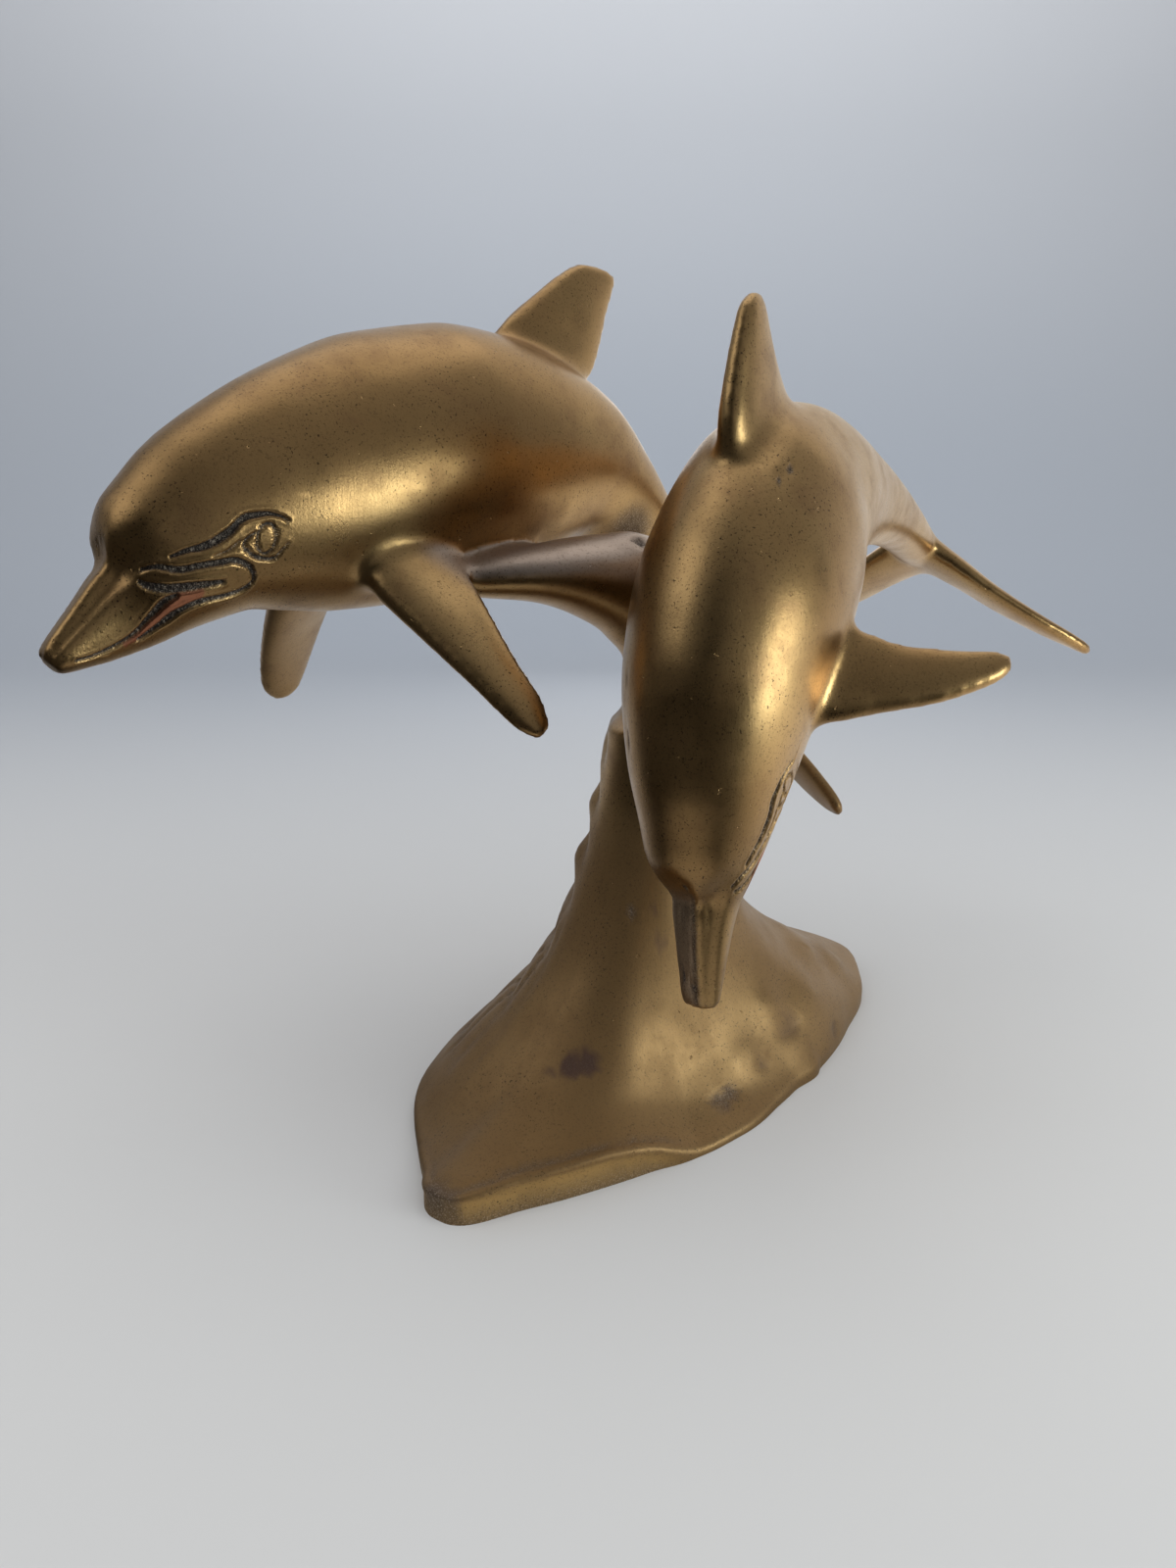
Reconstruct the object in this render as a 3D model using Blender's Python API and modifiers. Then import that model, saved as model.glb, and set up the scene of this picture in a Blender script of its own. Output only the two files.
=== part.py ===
"""Cast brass table sculpture: two leaping dolphins brazed to a curling wave on a spreading foot.

All sizes below are millimetres. The front of the sculpture faces -Y, +X is to its right, and it stands on Z = 0.
"""
from math import ceil, cos, pi, radians, sin

import bmesh
import bpy
from mathutils import Matrix, Vector

MM = 0.001

# Casting
VOXEL = 1.25
FILLET_PASSES = 7
FACETS_KEPT = 0.025

# Left dolphin: where its side view stands, the way it faces and how far its left side is lifted
LEFT_PLACE = (-36.6, 35.0, 185.0)
LEFT_HEADING = 225.0
LEFT_LIFT = 3.5
# its middle line from beak to tail, as forward and height
LEFT_SPINE = (
    (155.0, 150.0), (139.0, 161.0), (122.0, 172.5), (108.5, 179.5), (87.0, 185.0), (64.0, 188.5), (39.0, 191.5),
    (18.0, 193.5), (-6.0, 192.0), (-25.0, 182.0), (-44.0, 165.0), (-66.0, 141.0), (-86.0, 115.0), (-102.0, 93.0),
)
# its sections: distance from the beak tip, half height above the middle line and below it, half width
LEFT_BODY = (
    (0.0, 3.2, 3.0, 4.0), (2.0, 4.4, 4.2, 4.8), (10.0, 6.6, 8.4, 5.6), (18.0, 8.8, 11.8, 6.8), (23.0, 10.6, 13.6, 8.6),
    (28.0, 15.0, 15.0, 12.0), (38.0, 19.8, 18.6, 15.8), (56.0, 25.4, 24.6, 19.8), (78.0, 31.4, 31.4, 23.4),
    (101.0, 36.0, 34.4, 26.4), (126.0, 36.6, 35.6, 27.8), (147.0, 32.2, 33.0, 26.2), (170.0, 23.8, 27.4, 22.8),
    (193.0, 15.8, 21.0, 17.8), (219.0, 11.2, 15.4, 13.4), (250.0, 9.6, 11.4, 10.4), (285.0, 8.8, 8.6, 8.6),
    (305.0, 5.0, 5.0, 8.6),
)
# its back fin, as leading and trailing edge points in the side view and the half thickness between them
LEFT_DORSAL = (
    ((31.0, 214.0), (-10.0, 205.0), 6.4),
    ((15.0, 229.5), (-20.0, 217.0), 5.0),
    ((1.0, 239.0), (-24.5, 226.0), 4.0),
    ((-9.0, 245.0), (-27.5, 234.0), 3.2),
    ((-16.0, 248.0), (-31.0, 241.0), 2.4),
    ((-22.0, 248.0), (-32.5, 245.0), 1.8),
)

# Right dolphin, in the same way
RIGHT_PLACE = (5.5, -48.4, 150.0)
RIGHT_HEADING = 240.0
RIGHT_LIFT = 0.0
RIGHT_SPINE = (
    (0.0, 51.5), (0.0, 72.0), (-1.0, 90.0), (-2.0, 106.0), (-4.0, 122.0), (-9.0, 139.0), (-20.0, 156.0),
    (-38.0, 171.5), (-64.0, 181.5), (-95.0, 182.5), (-127.0, 177.5), (-162.0, 167.5), (-203.0, 152.0),
)
RIGHT_BODY = (
    (0.0, 3.2, 3.0, 4.2), (2.0, 4.2, 4.0, 5.0), (11.0, 6.0, 6.4, 5.6), (22.0, 8.0, 9.0, 6.6), (30.0, 10.0, 11.2, 8.0),
    (34.0, 12.0, 12.6, 9.6), (40.0, 15.8, 15.0, 12.2), (48.0, 19.6, 18.8, 15.2), (57.0, 23.4, 22.8, 18.0),
    (72.0, 28.6, 28.4, 21.6), (90.0, 33.2, 33.0, 24.8), (110.0, 36.4, 36.0, 27.0), (130.0, 36.6, 35.6, 27.4),
    (150.0, 30.2, 31.6, 24.2), (172.0, 20.6, 25.6, 20.0), (196.0, 13.4, 19.2, 16.0), (222.0, 9.8, 14.4, 12.6),
    (252.0, 7.8, 10.4, 10.0), (284.0, 6.4, 7.4, 8.6), (308.0, 4.4, 4.4, 8.6),
)
RIGHT_DORSAL = (
    ((-6.0, 186.0), (-50.0, 196.0), 6.8),
    ((-4.0, 201.0), (-44.0, 206.0), 5.2),
    ((-6.0, 212.0), (-35.0, 214.5), 4.0),
    ((-9.0, 221.0), (-29.0, 222.0), 3.2),
    ((-12.0, 228.0), (-25.0, 228.5), 2.4),
    ((-15.0, 230.5), (-23.0, 230.5), 1.8),
)

# Breast fins: distance of their root from the beak tip, then sections from the middle line there, as forward,
# out to the side and down from the back, for leading and trailing edge, and the half thickness between them
PECTORAL_AT = 94.0
PECTORAL = (
    ((16.0, 10.0, 15.0), (-15.0, 10.0, 12.0), 7.4),
    ((14.5, 22.0, 26.5), (-12.5, 22.0, 22.5), 5.2),
    ((11.0, 35.5, 40.0), (-8.5, 35.5, 34.5), 3.8),
    ((7.5, 46.5, 51.5), (-6.5, 46.5, 47.5), 3.0),
    ((5.0, 54.0, 60.0), (-6.0, 54.0, 56.5), 2.5),
    ((2.0, 57.5, 64.0), (-4.5, 57.5, 62.5), 1.9),
)
# the left dolphin's right one is broader at its end
BROAD_PECTORAL = (
    ((18.0, 10.0, 15.0), (-15.0, 10.0, 12.0), 7.4),
    ((17.5, 23.0, 26.5), (-13.0, 23.0, 22.5), 5.2),
    ((15.0, 38.5, 40.0), (-10.0, 38.5, 35.0), 3.8),
    ((12.0, 51.0, 51.5), (-9.0, 51.0, 48.0), 3.0),
    ((9.0, 59.0, 60.5), (-8.0, 59.0, 57.5), 2.5),
    ((4.5, 62.5, 65.5), (-5.5, 62.5, 64.0), 1.9),
)
# the right dolphin holds its left one out flatter
SPREAD_PECTORAL = (
    ((16.0, 10.0, 6.0), (-18.0, 10.0, 6.0), 7.4),
    ((12.5, 22.0, 9.0), (-17.5, 22.0, 10.0), 5.2),
    ((5.0, 36.0, 16.0), (-14.5, 36.0, 17.0), 3.8),
    ((-1.5, 49.0, 22.5), (-16.5, 49.0, 24.0), 3.0),
    ((-8.5, 58.0, 28.5), (-19.0, 58.0, 29.5), 2.5),
    ((-12.5, 61.5, 31.5), (-19.0, 61.5, 32.0), 1.9),
)

# Tail flukes, from the tail's end, in the same way
LEFT_FLUKE = (
    ((22.0, 0.0, -1.0), (-9.0, 0.0, 2.0), 5.5),
    ((14.0, 9.0, 2.5), (-16.0, 9.0, 4.5), 4.6),
    ((2.0, 20.0, 8.0), (-23.0, 20.0, 10.5), 3.4),
    ((-5.5, 31.0, 13.5), (-26.0, 31.0, 15.5), 2.8),
    ((-11.5, 37.5, 17.0), (-25.5, 37.5, 18.0), 2.4),
    ((-15.5, 41.0, 19.5), (-22.5, 41.0, 20.0), 2.0),
)
RIGHT_FLUKE = (
    ((28.0, 0.0, -1.0), (-8.0, 0.0, 2.0), 5.5),
    ((22.0, 12.0, 4.0), (-11.0, 12.0, 6.0), 4.6),
    ((12.0, 28.0, 12.5), (-17.0, 28.0, 14.0), 3.4),
    ((0.0, 44.0, 19.5), (-21.0, 44.0, 20.5), 2.8),
    ((-10.0, 55.0, 23.5), (-24.0, 55.0, 24.0), 2.4),
    ((-18.0, 61.0, 25.5), (-25.5, 61.0, 26.0), 2.0),
)

# Carving on both cheeks: points as distance from the beak tip and turn down from the back, in degrees
GROOVE_DEPTH = 1.0
GROOVE_RADIUS = 1.6
EYE_AT = (53.2, 102.0)
EYE_RING = 3.6
GROOVES = (
    ((33.0, 76.0), (39.5, 84.0), (47.0, 86.0), (54.0, 86.0), (60.0, 93.0)),
    ((27.0, 68.0), (32.5, 89.0), (40.0, 101.0), (46.0, 112.0), (46.5, 121.0), (41.0, 128.0), (33.5, 121.0),
     (26.0, 116.0), (18.0, 119.0), (10.0, 121.0)),
)
# the right dolphin's beak is longer and its head is rolled a little
LEFT_FACE_SHIFT = (0.0, 0.0)
RIGHT_FACE_SHIFT = (12.0, -12.0)

# Foot of the wave: bearing round the column's axis, reach to the rim and height of the rim
FOOT_AXIS = (-5.0, 5.0)
FOOT = (
    (0, 56.0, 3.0), (20, 75.0, 3.0), (34, 99.0, 5.0), (44, 110.0, 9.0), (56, 108.0, 10.0), (72, 84.0, 7.0),
    (96, 62.0, 6.0), (122, 54.0, 6.0), (148, 56.0, 6.0), (172, 67.0, 6.0), (192, 75.0, 6.0), (210, 81.0, 7.0),
    (223, 89.0, 9.5), (230, 96.5, 11.0), (234, 96.0, 11.5), (243, 80.0, 11.5), (254, 66.0, 10.5), (268, 55.0, 7.0),
    (284, 49.5, 2.5), (304, 45.5, 1.5), (326, 44.5, 2.0), (344, 47.5, 2.5),
)
COLUMN_HALF_WIDTH = 14.5
COLUMN_HALF_DEPTH = 19.0
COLUMN_TOP = 118.0

# Wave between rim and column top: share of the height, and of the foot's spread left on its flank and open front
SWEEP = (
    (0.0, 1.0, 1.0), (0.03, 0.965, 0.80), (0.08, 0.89, 0.58), (0.16, 0.73, 0.40), (0.26, 0.52, 0.27),
    (0.38, 0.33, 0.18), (0.52, 0.20, 0.11), (0.68, 0.10, 0.06), (0.84, 0.03, 0.02), (1.0, 0.0, 0.0),
)
OPEN_FRONT = 282.0

# Foam carved up the wave's left edge: bearing it centres on, its spread, depth of a scallop and rise from one to the next
FOAM_BEARING = 176.0
FOAM_SPREAD = 26.0
FOAM_DEPTH = 2.6
FOAM_PITCH = 15.5

# Crest curling to the left, and the shoulder under the right dolphin: ring centre, half thickness, half breadth
CREST = (
    ((-2.0, 6.0, 108.0), 13.0, 18.0),
    ((2.0, 8.0, 130.0), 15.5, 18.0),
    ((0.0, 8.0, 146.0), 17.5, 18.0),
    ((-11.0, 4.0, 156.0), 16.0, 16.5),
    ((-24.0, -2.0, 160.5), 12.0, 15.0),
    ((-38.0, -9.0, 162.5), 8.2, 12.5),
    ((-53.0, -15.0, 162.5), 6.0, 9.5),
    ((-63.0, -19.0, 161.5), 4.0, 6.0),
)
SHOULDER = (
    ((2.0, 8.0, 112.0), 13.0, 14.0),
    ((10.0, 2.0, 127.0), 14.0, 15.0),
    ((19.0, -4.0, 136.0), 12.0, 15.0),
    ((26.0, -8.0, 146.0), 9.0, 13.0),
)


def clear_scene():
    for obj in list(bpy.data.objects):
        bpy.data.objects.remove(obj)


def new_collection(name):
    collection = bpy.data.collections.new(name)
    bpy.context.scene.collection.children.link(collection)
    return collection


def brass():
    material = bpy.data.materials.new("satin_brass")
    material.use_nodes = True
    shader = material.node_tree.nodes["Principled BSDF"]
    shader.inputs["Base Color"].default_value = (0.36, 0.23, 0.10, 1.0)
    shader.inputs["Metallic"].default_value = 1.0
    shader.inputs["Roughness"].default_value = 0.32
    return material


def blend_rows(rows, at):
    """The row at a fractional index, on a smooth curve through all rows; a row is a flat list of numbers."""
    i = min(int(at), len(rows) - 2)
    t = at - i
    b, c = rows[i], rows[i + 1]
    a = rows[i - 1] if i > 0 else [2 * p - q for p, q in zip(b, c)]
    d = rows[i + 2] if i + 2 < len(rows) else [2 * q - p for p, q in zip(b, c)]
    return [0.5 * (2 * q + (r - p) * t + (2 * p - 5 * q + 4 * r - s) * t ** 2 + (3 * q - p - 3 * r + s) * t ** 3)
            for p, q, r, s in zip(a, b, c, d)]


def look_up(rows, key):
    """The rest of a row for a value of its first column, on a curve that never overshoots its rows."""
    i = 0
    while i < len(rows) - 2 and rows[i + 1][0] < key:
        i += 1

    def slope(k, column):
        if k <= 0 or k >= len(rows) - 1:
            return 0.0
        before = (rows[k][column] - rows[k - 1][column]) / (rows[k][0] - rows[k - 1][0])
        after = (rows[k + 1][column] - rows[k][column]) / (rows[k + 1][0] - rows[k][0])
        return 0.0 if before * after <= 0 else 2 * before * after / (before + after)

    width = rows[i + 1][0] - rows[i][0]
    t = min(max((key - rows[i][0]) / width, 0.0), 1.0)
    found = []
    for column in range(1, len(rows[0])):
        p, q = rows[i][column], rows[i + 1][column]
        m, n = slope(i, column) * width, slope(i + 1, column) * width
        found.append(p * (2 * t ** 3 - 3 * t ** 2 + 1) + m * (t ** 3 - 2 * t ** 2 + t)
                     + q * (3 * t ** 2 - 2 * t ** 3) + n * (t ** 3 - t ** 2))
    return found


class Spine:
    """The curved middle line of one dolphin, drawn in its side view and placed in the room."""

    def __init__(self, place, heading, lift, points):
        self.origin = Vector(place)
        self.ahead = Vector((cos(radians(heading)), sin(radians(heading)), 0.0))
        level_left = Vector((-self.ahead.y, self.ahead.x, 0.0))
        upright = Vector((0.0, 0.0, 1.0))
        self.left = level_left * cos(radians(lift)) + upright * sin(radians(lift))
        self.up = upright * cos(radians(lift)) - level_left * sin(radians(lift))
        steps = 16
        rows = [blend_rows(points, k / steps) for k in range((len(points) - 1) * steps + 1)]
        self.path = [Vector(row) for row in rows]
        self.lengths = [0.0]
        for a, b in zip(self.path, self.path[1:]):
            self.lengths.append(self.lengths[-1] + (b - a).length)

    def side_point(self, forward, height, aside=0.0):
        return self.origin + self.ahead * forward + self.left * aside + self.up * (height - self.origin.z)

    def frame(self, distance):
        """Point, backward direction and upward normal at a distance from the beak tip."""
        i = 0
        while i < len(self.path) - 2 and self.lengths[i + 1] < distance:
            i += 1
        t = (distance - self.lengths[i]) / (self.lengths[i + 1] - self.lengths[i])
        point = self.path[i].lerp(self.path[i + 1], t)
        back = (self.path[min(i + 5, len(self.path) - 1)] - self.path[max(i - 4, 0)]).normalized()
        return (self.side_point(point.x, point.y), self.ahead * back.x + self.up * back.y,
                self.ahead * back.y - self.up * back.x)


def add_loft(bm, rings, closed=False):
    """A closed skin over rings of the same number of points, with capped ends or running back into its start."""
    loops = [[bm.verts.new(p * MM) for p in ring] for ring in rings]
    count = len(loops[0])
    following = loops[1:] + loops[:1] if closed else loops[1:]
    for a, b in zip(loops, following):
        for i in range(count):
            j = (i + 1) % count
            bm.faces.new((a[i], a[j], b[j], b[i]))
    if not closed:
        bm.faces.new(list(reversed(loops[0])))
        bm.faces.new(loops[-1])


def add_body(bm, spine, sections):
    ring_points, spacing = 40, 3.0
    length = spine.lengths[-1]
    count = ceil(length / spacing)
    rings = []
    for i in range(count + 1):
        distance = length * i / count
        above, below, half_width = look_up(sections, distance)
        point, _, up = spine.frame(distance)
        ring = []
        for k in range(ring_points):
            turn = 2 * pi * k / ring_points
            tall = above if cos(turn) > 0 else below
            ring.append(point + up * tall * cos(turn) + spine.left * half_width * sin(turn))
        rings.append(ring)
    add_loft(bm, rings)


def blade_ring(lead, trail, half_thickness, across):
    """A section between a leading and a trailing edge, rounded in front and thickest before its middle."""
    chord = trail - lead
    count = 12
    ring = []
    for k in range(2 * count):
        turn = pi * k / count
        along = (0.5 - 0.5 * cos(turn)) ** 1.25
        ring.append(lead + chord * along + across * half_thickness * sin(turn))
    return ring


def add_blade(bm, stations):
    """A fin: a loft over sections from one end to the other."""
    rows = [[*lead, *trail, half] for lead, trail, half in stations]
    steps = 5
    rows = [blend_rows(rows, k / steps) for k in range((len(rows) - 1) * steps + 1)]
    rings = []
    for i, row in enumerate(rows):
        before, after = rows[max(i - 1, 0)], rows[min(i + 1, len(rows) - 1)]
        span = Vector([after[k] + after[k + 3] - before[k] - before[k + 3] for k in range(3)])
        lead, trail = Vector(row[:3]), Vector(row[3:6])
        rings.append(blade_ring(lead, trail, row[6], span.cross(trail - lead).normalized()))
    add_loft(bm, rings)


def add_dorsal(bm, spine, stations):
    add_blade(bm, [(spine.side_point(*lead), spine.side_point(*trail), half) for lead, trail, half in stations])


def fin_stations(spine, distance, stations, side):
    """Fin sections given from the middle line, placed in the room on the left (1) or right (-1) side."""
    point, back, up = spine.frame(distance)

    def place(offset):
        forward, out, down = offset
        return point - back * forward + spine.left * out * side - up * down

    return [(place(lead), place(trail), half) for lead, trail, half in stations]


def add_dolphin(bm, spine, sections, dorsal, left_pectoral, right_pectoral, fluke):
    add_body(bm, spine, sections)
    add_dorsal(bm, spine, dorsal)
    add_blade(bm, fin_stations(spine, PECTORAL_AT, left_pectoral, 1))
    add_blade(bm, fin_stations(spine, PECTORAL_AT, right_pectoral, -1))
    tail = spine.lengths[-1]
    add_blade(bm, fin_stations(spine, tail, fluke[::-1], 1) + fin_stations(spine, tail, fluke[1:], -1))


def skin_point(spine, sections, place, side):
    """The point over the body's skin, at a distance from the beak tip and a turn down from the back, from which
    a tube of the groove's radius cuts the groove's depth."""
    distance, degrees = place
    above, below, half_width = look_up(sections, distance)
    turn = radians(degrees)
    tall = above if cos(turn) > 0 else below
    point, _, up = spine.frame(distance)
    outward = up * tall * cos(turn) + spine.left * half_width * sin(turn) * side
    return point + outward + outward.normalized() * (GROOVE_RADIUS - GROOVE_DEPTH)


def add_groove(bm, path, closed=False):
    """A round tube along a path over the skin."""
    sides = 6
    last = len(path) - 1
    rings = []
    for i, point in enumerate(path):
        before = path[i - 1] if closed or i > 0 else point
        after = path[(i + 1) % len(path)] if closed or i < last else point
        tangent = (after - before).normalized()
        across = tangent.cross(Vector((0.3, 0.2, 0.93))).normalized()
        around = tangent.cross(across)
        turns = [2 * pi * k / sides for k in range(sides)]
        rings.append([point + (across * cos(turn) + around * sin(turn)) * GROOVE_RADIUS for turn in turns])
    add_loft(bm, rings, closed)


def add_carving(bm, spine, sections, shift, side):
    """The eye's ring, the brow and the mouth's lines on one cheek."""
    eye = (EYE_AT[0] + shift[0], EYE_AT[1] + shift[1])
    centre = skin_point(spine, sections, eye, side)
    girth = (centre - skin_point(spine, sections, (eye[0], eye[1] + 10.0), side)).length / 10.0
    ring_points = 12
    ring = []
    for k in range(ring_points):
        turn = 2 * pi * k / ring_points
        place = (eye[0] + EYE_RING * cos(turn), eye[1] + EYE_RING * sin(turn) / girth)
        ring.append(skin_point(spine, sections, place, side))
    add_groove(bm, ring, closed=True)
    for groove in GROOVES:
        places = [blend_rows(groove, 0.5 * k) for k in range(2 * len(groove) - 1)]
        add_groove(bm, [skin_point(spine, sections, (d + shift[0], a + shift[1]), side) for d, a in places])


def column_reach(bearing):
    """Distance from the axis to the column's oval at a bearing."""
    c, s = cos(bearing) / COLUMN_HALF_WIDTH, sin(bearing) / COLUMN_HALF_DEPTH
    return 1.0 / (c * c + s * s) ** 0.5


def foot_edge(degrees):
    """Reach and height of the foot's rim at a bearing."""
    rows = [(FOOT[-1][0] - 360, *FOOT[-1][1:])] + list(FOOT) + [(FOOT[0][0] + 360, *FOOT[0][1:])]
    return look_up(rows, degrees)


def turned(degrees, other):
    """Signed angle between two bearings."""
    return (degrees - other + 180.0) % 360.0 - 180.0


def foam(degrees, height):
    """Scallops up the left edge, deepest between two swells."""
    aside = turned(degrees, FOAM_BEARING) / FOAM_SPREAD
    if abs(aside) >= 1.0 or height < 20.0:
        return 0.0
    swell = 0.5 - 0.5 * cos(2 * pi * (height + 0.25 * turned(degrees, FOAM_BEARING)) / FOAM_PITCH)
    return -FOAM_DEPTH * (1.0 - aside ** 2) * (1.0 - swell ** 0.5) * min(1.0, (height - 20.0) / 12.0)


def wave_ring(share):
    """A ring round the column at a share of the height between rim and column top."""
    flank, front = look_up(SWEEP, share)
    ring = []
    for degrees in range(0, 360, 4):
        bearing = radians(degrees)
        reach, rim = foot_edge(degrees)
        openness = max(0.0, cos(radians(turned(degrees, OPEN_FRONT)))) ** 0.8
        spread = flank + (front - flank) * openness
        height = rim + (COLUMN_TOP - rim) * share
        inner = column_reach(bearing)
        radius = inner + (reach - inner) * spread + foam(degrees, height)
        ring.append(Vector((FOOT_AXIS[0] + radius * cos(bearing), FOOT_AXIS[1] + radius * sin(bearing), height)))
    return ring


def add_wave(bm):
    rim = wave_ring(0.0)
    below = [Vector((p.x, p.y, -4.0)) for p in rim]
    count = 40
    add_loft(bm, [below, rim] + [wave_ring((k / count) ** 1.3) for k in range(1, count + 1)])


def add_crest(bm, stations):
    rows = [[*centre, thick, broad] for centre, thick, broad in stations]
    steps = 4
    rows = [blend_rows(rows, k / steps) for k in range((len(rows) - 1) * steps + 1)]
    breadth_way = Vector((0.35, -0.94, 0.0))
    rings = []
    for i, row in enumerate(rows):
        centre = Vector(row[:3])
        tangent = (Vector(rows[min(i + 1, len(rows) - 1)][:3]) - Vector(rows[max(i - 1, 0)][:3])).normalized()
        side = (breadth_way - tangent * breadth_way.dot(tangent)).normalized()
        lift = tangent.cross(side)
        ring = []
        for k in range(24):
            turn = 2 * pi * k / 24
            ring.append(centre + side * row[4] * sin(turn) + lift * row[3] * cos(turn))
        rings.append(ring)
    add_loft(bm, rings)


def object_from(bm, name, collection):
    bmesh.ops.recalc_face_normals(bm, faces=bm.faces)
    mesh = bpy.data.meshes.new(name)
    bm.to_mesh(mesh)
    bm.free()
    obj = bpy.data.objects.new(name, mesh)
    collection.objects.link(obj)
    return obj


def cutter_from(bm, name, collection):
    obj = object_from(bm, name, collection)
    obj.hide_render = True
    obj.display_type = "WIRE"
    return obj


def floor_cutter(collection):
    bm = bmesh.new()
    bmesh.ops.create_cube(bm, size=1.0)
    bmesh.ops.scale(bm, vec=(1.0, 1.0, 0.03), verts=bm.verts)
    bmesh.ops.translate(bm, vec=(0.0, 0.0, -0.015), verts=bm.verts)
    return cutter_from(bm, "floor_cutter", collection)


def carving_cutter(left, right, collection):
    bm = bmesh.new()
    for side in (1, -1):
        add_carving(bm, left, LEFT_BODY, LEFT_FACE_SHIFT, side)
        add_carving(bm, right, RIGHT_BODY, RIGHT_FACE_SHIFT, side)
    return cutter_from(bm, "carving_cutter", collection)


def cut(obj, cutter):
    modifier = obj.modifiers.new(cutter.name, "BOOLEAN")
    modifier.operation = "DIFFERENCE"
    modifier.object = cutter
    modifier.use_self = True


def centre(obj, cutters):
    """Moves the finished shape, and what cuts it, so that the middle of its outline from above is the origin."""
    bpy.context.view_layer.update()
    finished = obj.evaluated_get(bpy.context.evaluated_depsgraph_get())
    corners = [Vector(corner) for corner in finished.bound_box]
    middle = sum(corners, Vector()) / len(corners)
    shift = Matrix.Translation((-middle.x, -middle.y, 0.0))
    for shape in [obj, *cutters.objects]:
        shape.data.transform(shift)


def build():
    clear_scene()
    parts = new_collection("dolphin_figurine")
    cutters = new_collection("cutters")
    left = Spine(LEFT_PLACE, LEFT_HEADING, LEFT_LIFT, LEFT_SPINE)
    right = Spine(RIGHT_PLACE, RIGHT_HEADING, RIGHT_LIFT, RIGHT_SPINE)
    bm = bmesh.new()
    add_dolphin(bm, left, LEFT_BODY, LEFT_DORSAL, PECTORAL, BROAD_PECTORAL, LEFT_FLUKE)
    add_dolphin(bm, right, RIGHT_BODY, RIGHT_DORSAL, SPREAD_PECTORAL, PECTORAL, RIGHT_FLUKE)
    add_wave(bm)
    add_crest(bm, CREST)
    add_crest(bm, SHOULDER)
    figurine = object_from(bm, "dolphin_figurine", parts)
    figurine.data.materials.append(brass())
    fuse = figurine.modifiers.new("fuse", "REMESH")
    fuse.mode = "VOXEL"
    fuse.voxel_size = VOXEL * MM
    blend = figurine.modifiers.new("fillets", "SMOOTH")
    blend.factor = 0.5
    blend.iterations = FILLET_PASSES
    thin = figurine.modifiers.new("facets", "DECIMATE")
    thin.ratio = FACETS_KEPT
    cut(figurine, floor_cutter(cutters))
    cut(figurine, carving_cutter(left, right, cutters))
    centre(figurine, cutters)


build()
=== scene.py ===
from math import ceil, cos, pi, radians, sin

import bmesh
import bpy
import numpy as np
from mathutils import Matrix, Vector, noise


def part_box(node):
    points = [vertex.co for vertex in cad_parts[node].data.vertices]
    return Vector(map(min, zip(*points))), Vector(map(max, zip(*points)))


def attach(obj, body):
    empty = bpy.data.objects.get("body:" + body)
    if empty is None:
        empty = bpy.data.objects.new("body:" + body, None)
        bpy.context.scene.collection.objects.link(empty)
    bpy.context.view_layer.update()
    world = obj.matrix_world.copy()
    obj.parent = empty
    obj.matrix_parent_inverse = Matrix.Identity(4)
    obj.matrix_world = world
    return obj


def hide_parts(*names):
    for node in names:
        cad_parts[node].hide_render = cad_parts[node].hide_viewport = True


# Look of a cast brass table sculpture: two leaping dolphins on a curling wave with its own spreading foot.
# Sizes are millimetres unless a name says otherwise; the front faces -Y and +X is to its right.

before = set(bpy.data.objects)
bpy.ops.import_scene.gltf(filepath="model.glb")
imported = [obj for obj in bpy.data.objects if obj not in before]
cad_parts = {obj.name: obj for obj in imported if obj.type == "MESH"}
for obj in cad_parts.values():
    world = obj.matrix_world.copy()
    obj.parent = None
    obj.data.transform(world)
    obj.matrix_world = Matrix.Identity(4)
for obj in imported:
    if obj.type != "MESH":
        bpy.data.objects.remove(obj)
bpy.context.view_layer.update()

MM = 0.001
MERGE = 1e-6

# Casting
VOXEL = 1.05
SMOOTH_PASSES = 8
# how far a place lies below its neighbours' middle before it gets a fillet, and the fillet's size
CREASE = 0.035
FILLET_REACH = 5
FILLET_PASSES = 60
FACETS_KEPT = 0.33
# lofts: points round a body, a crest and one side of a fin, and the distance between a body's rings
BODY_POINTS = 96
CREST_POINTS = 48
FIN_POINTS = 20
BODY_SPACING = 1.6
# how far a fin's rounded tip stands out from its last section
TIP_ROUND = 1.4

# Left dolphin: where its side view stands, the way it faces and how far its left side is lifted
LEFT_PLACE = (-36.6, 35.0, 185.0)
LEFT_HEADING = 225.0
LEFT_LIFT = 3.5
# its middle line from beak to tail, as forward and height
LEFT_SPINE = (
    (155.0, 150.0), (139.0, 161.0), (122.0, 172.5), (108.5, 179.5), (87.0, 185.0), (64.0, 188.5),
    (39.0, 191.5), (18.0, 193.5), (-6.0, 192.0), (-25.0, 182.0), (-44.0, 165.0), (-66.0, 141.0),
    (-86.0, 115.0), (-102.0, 93.0),
)
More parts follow.
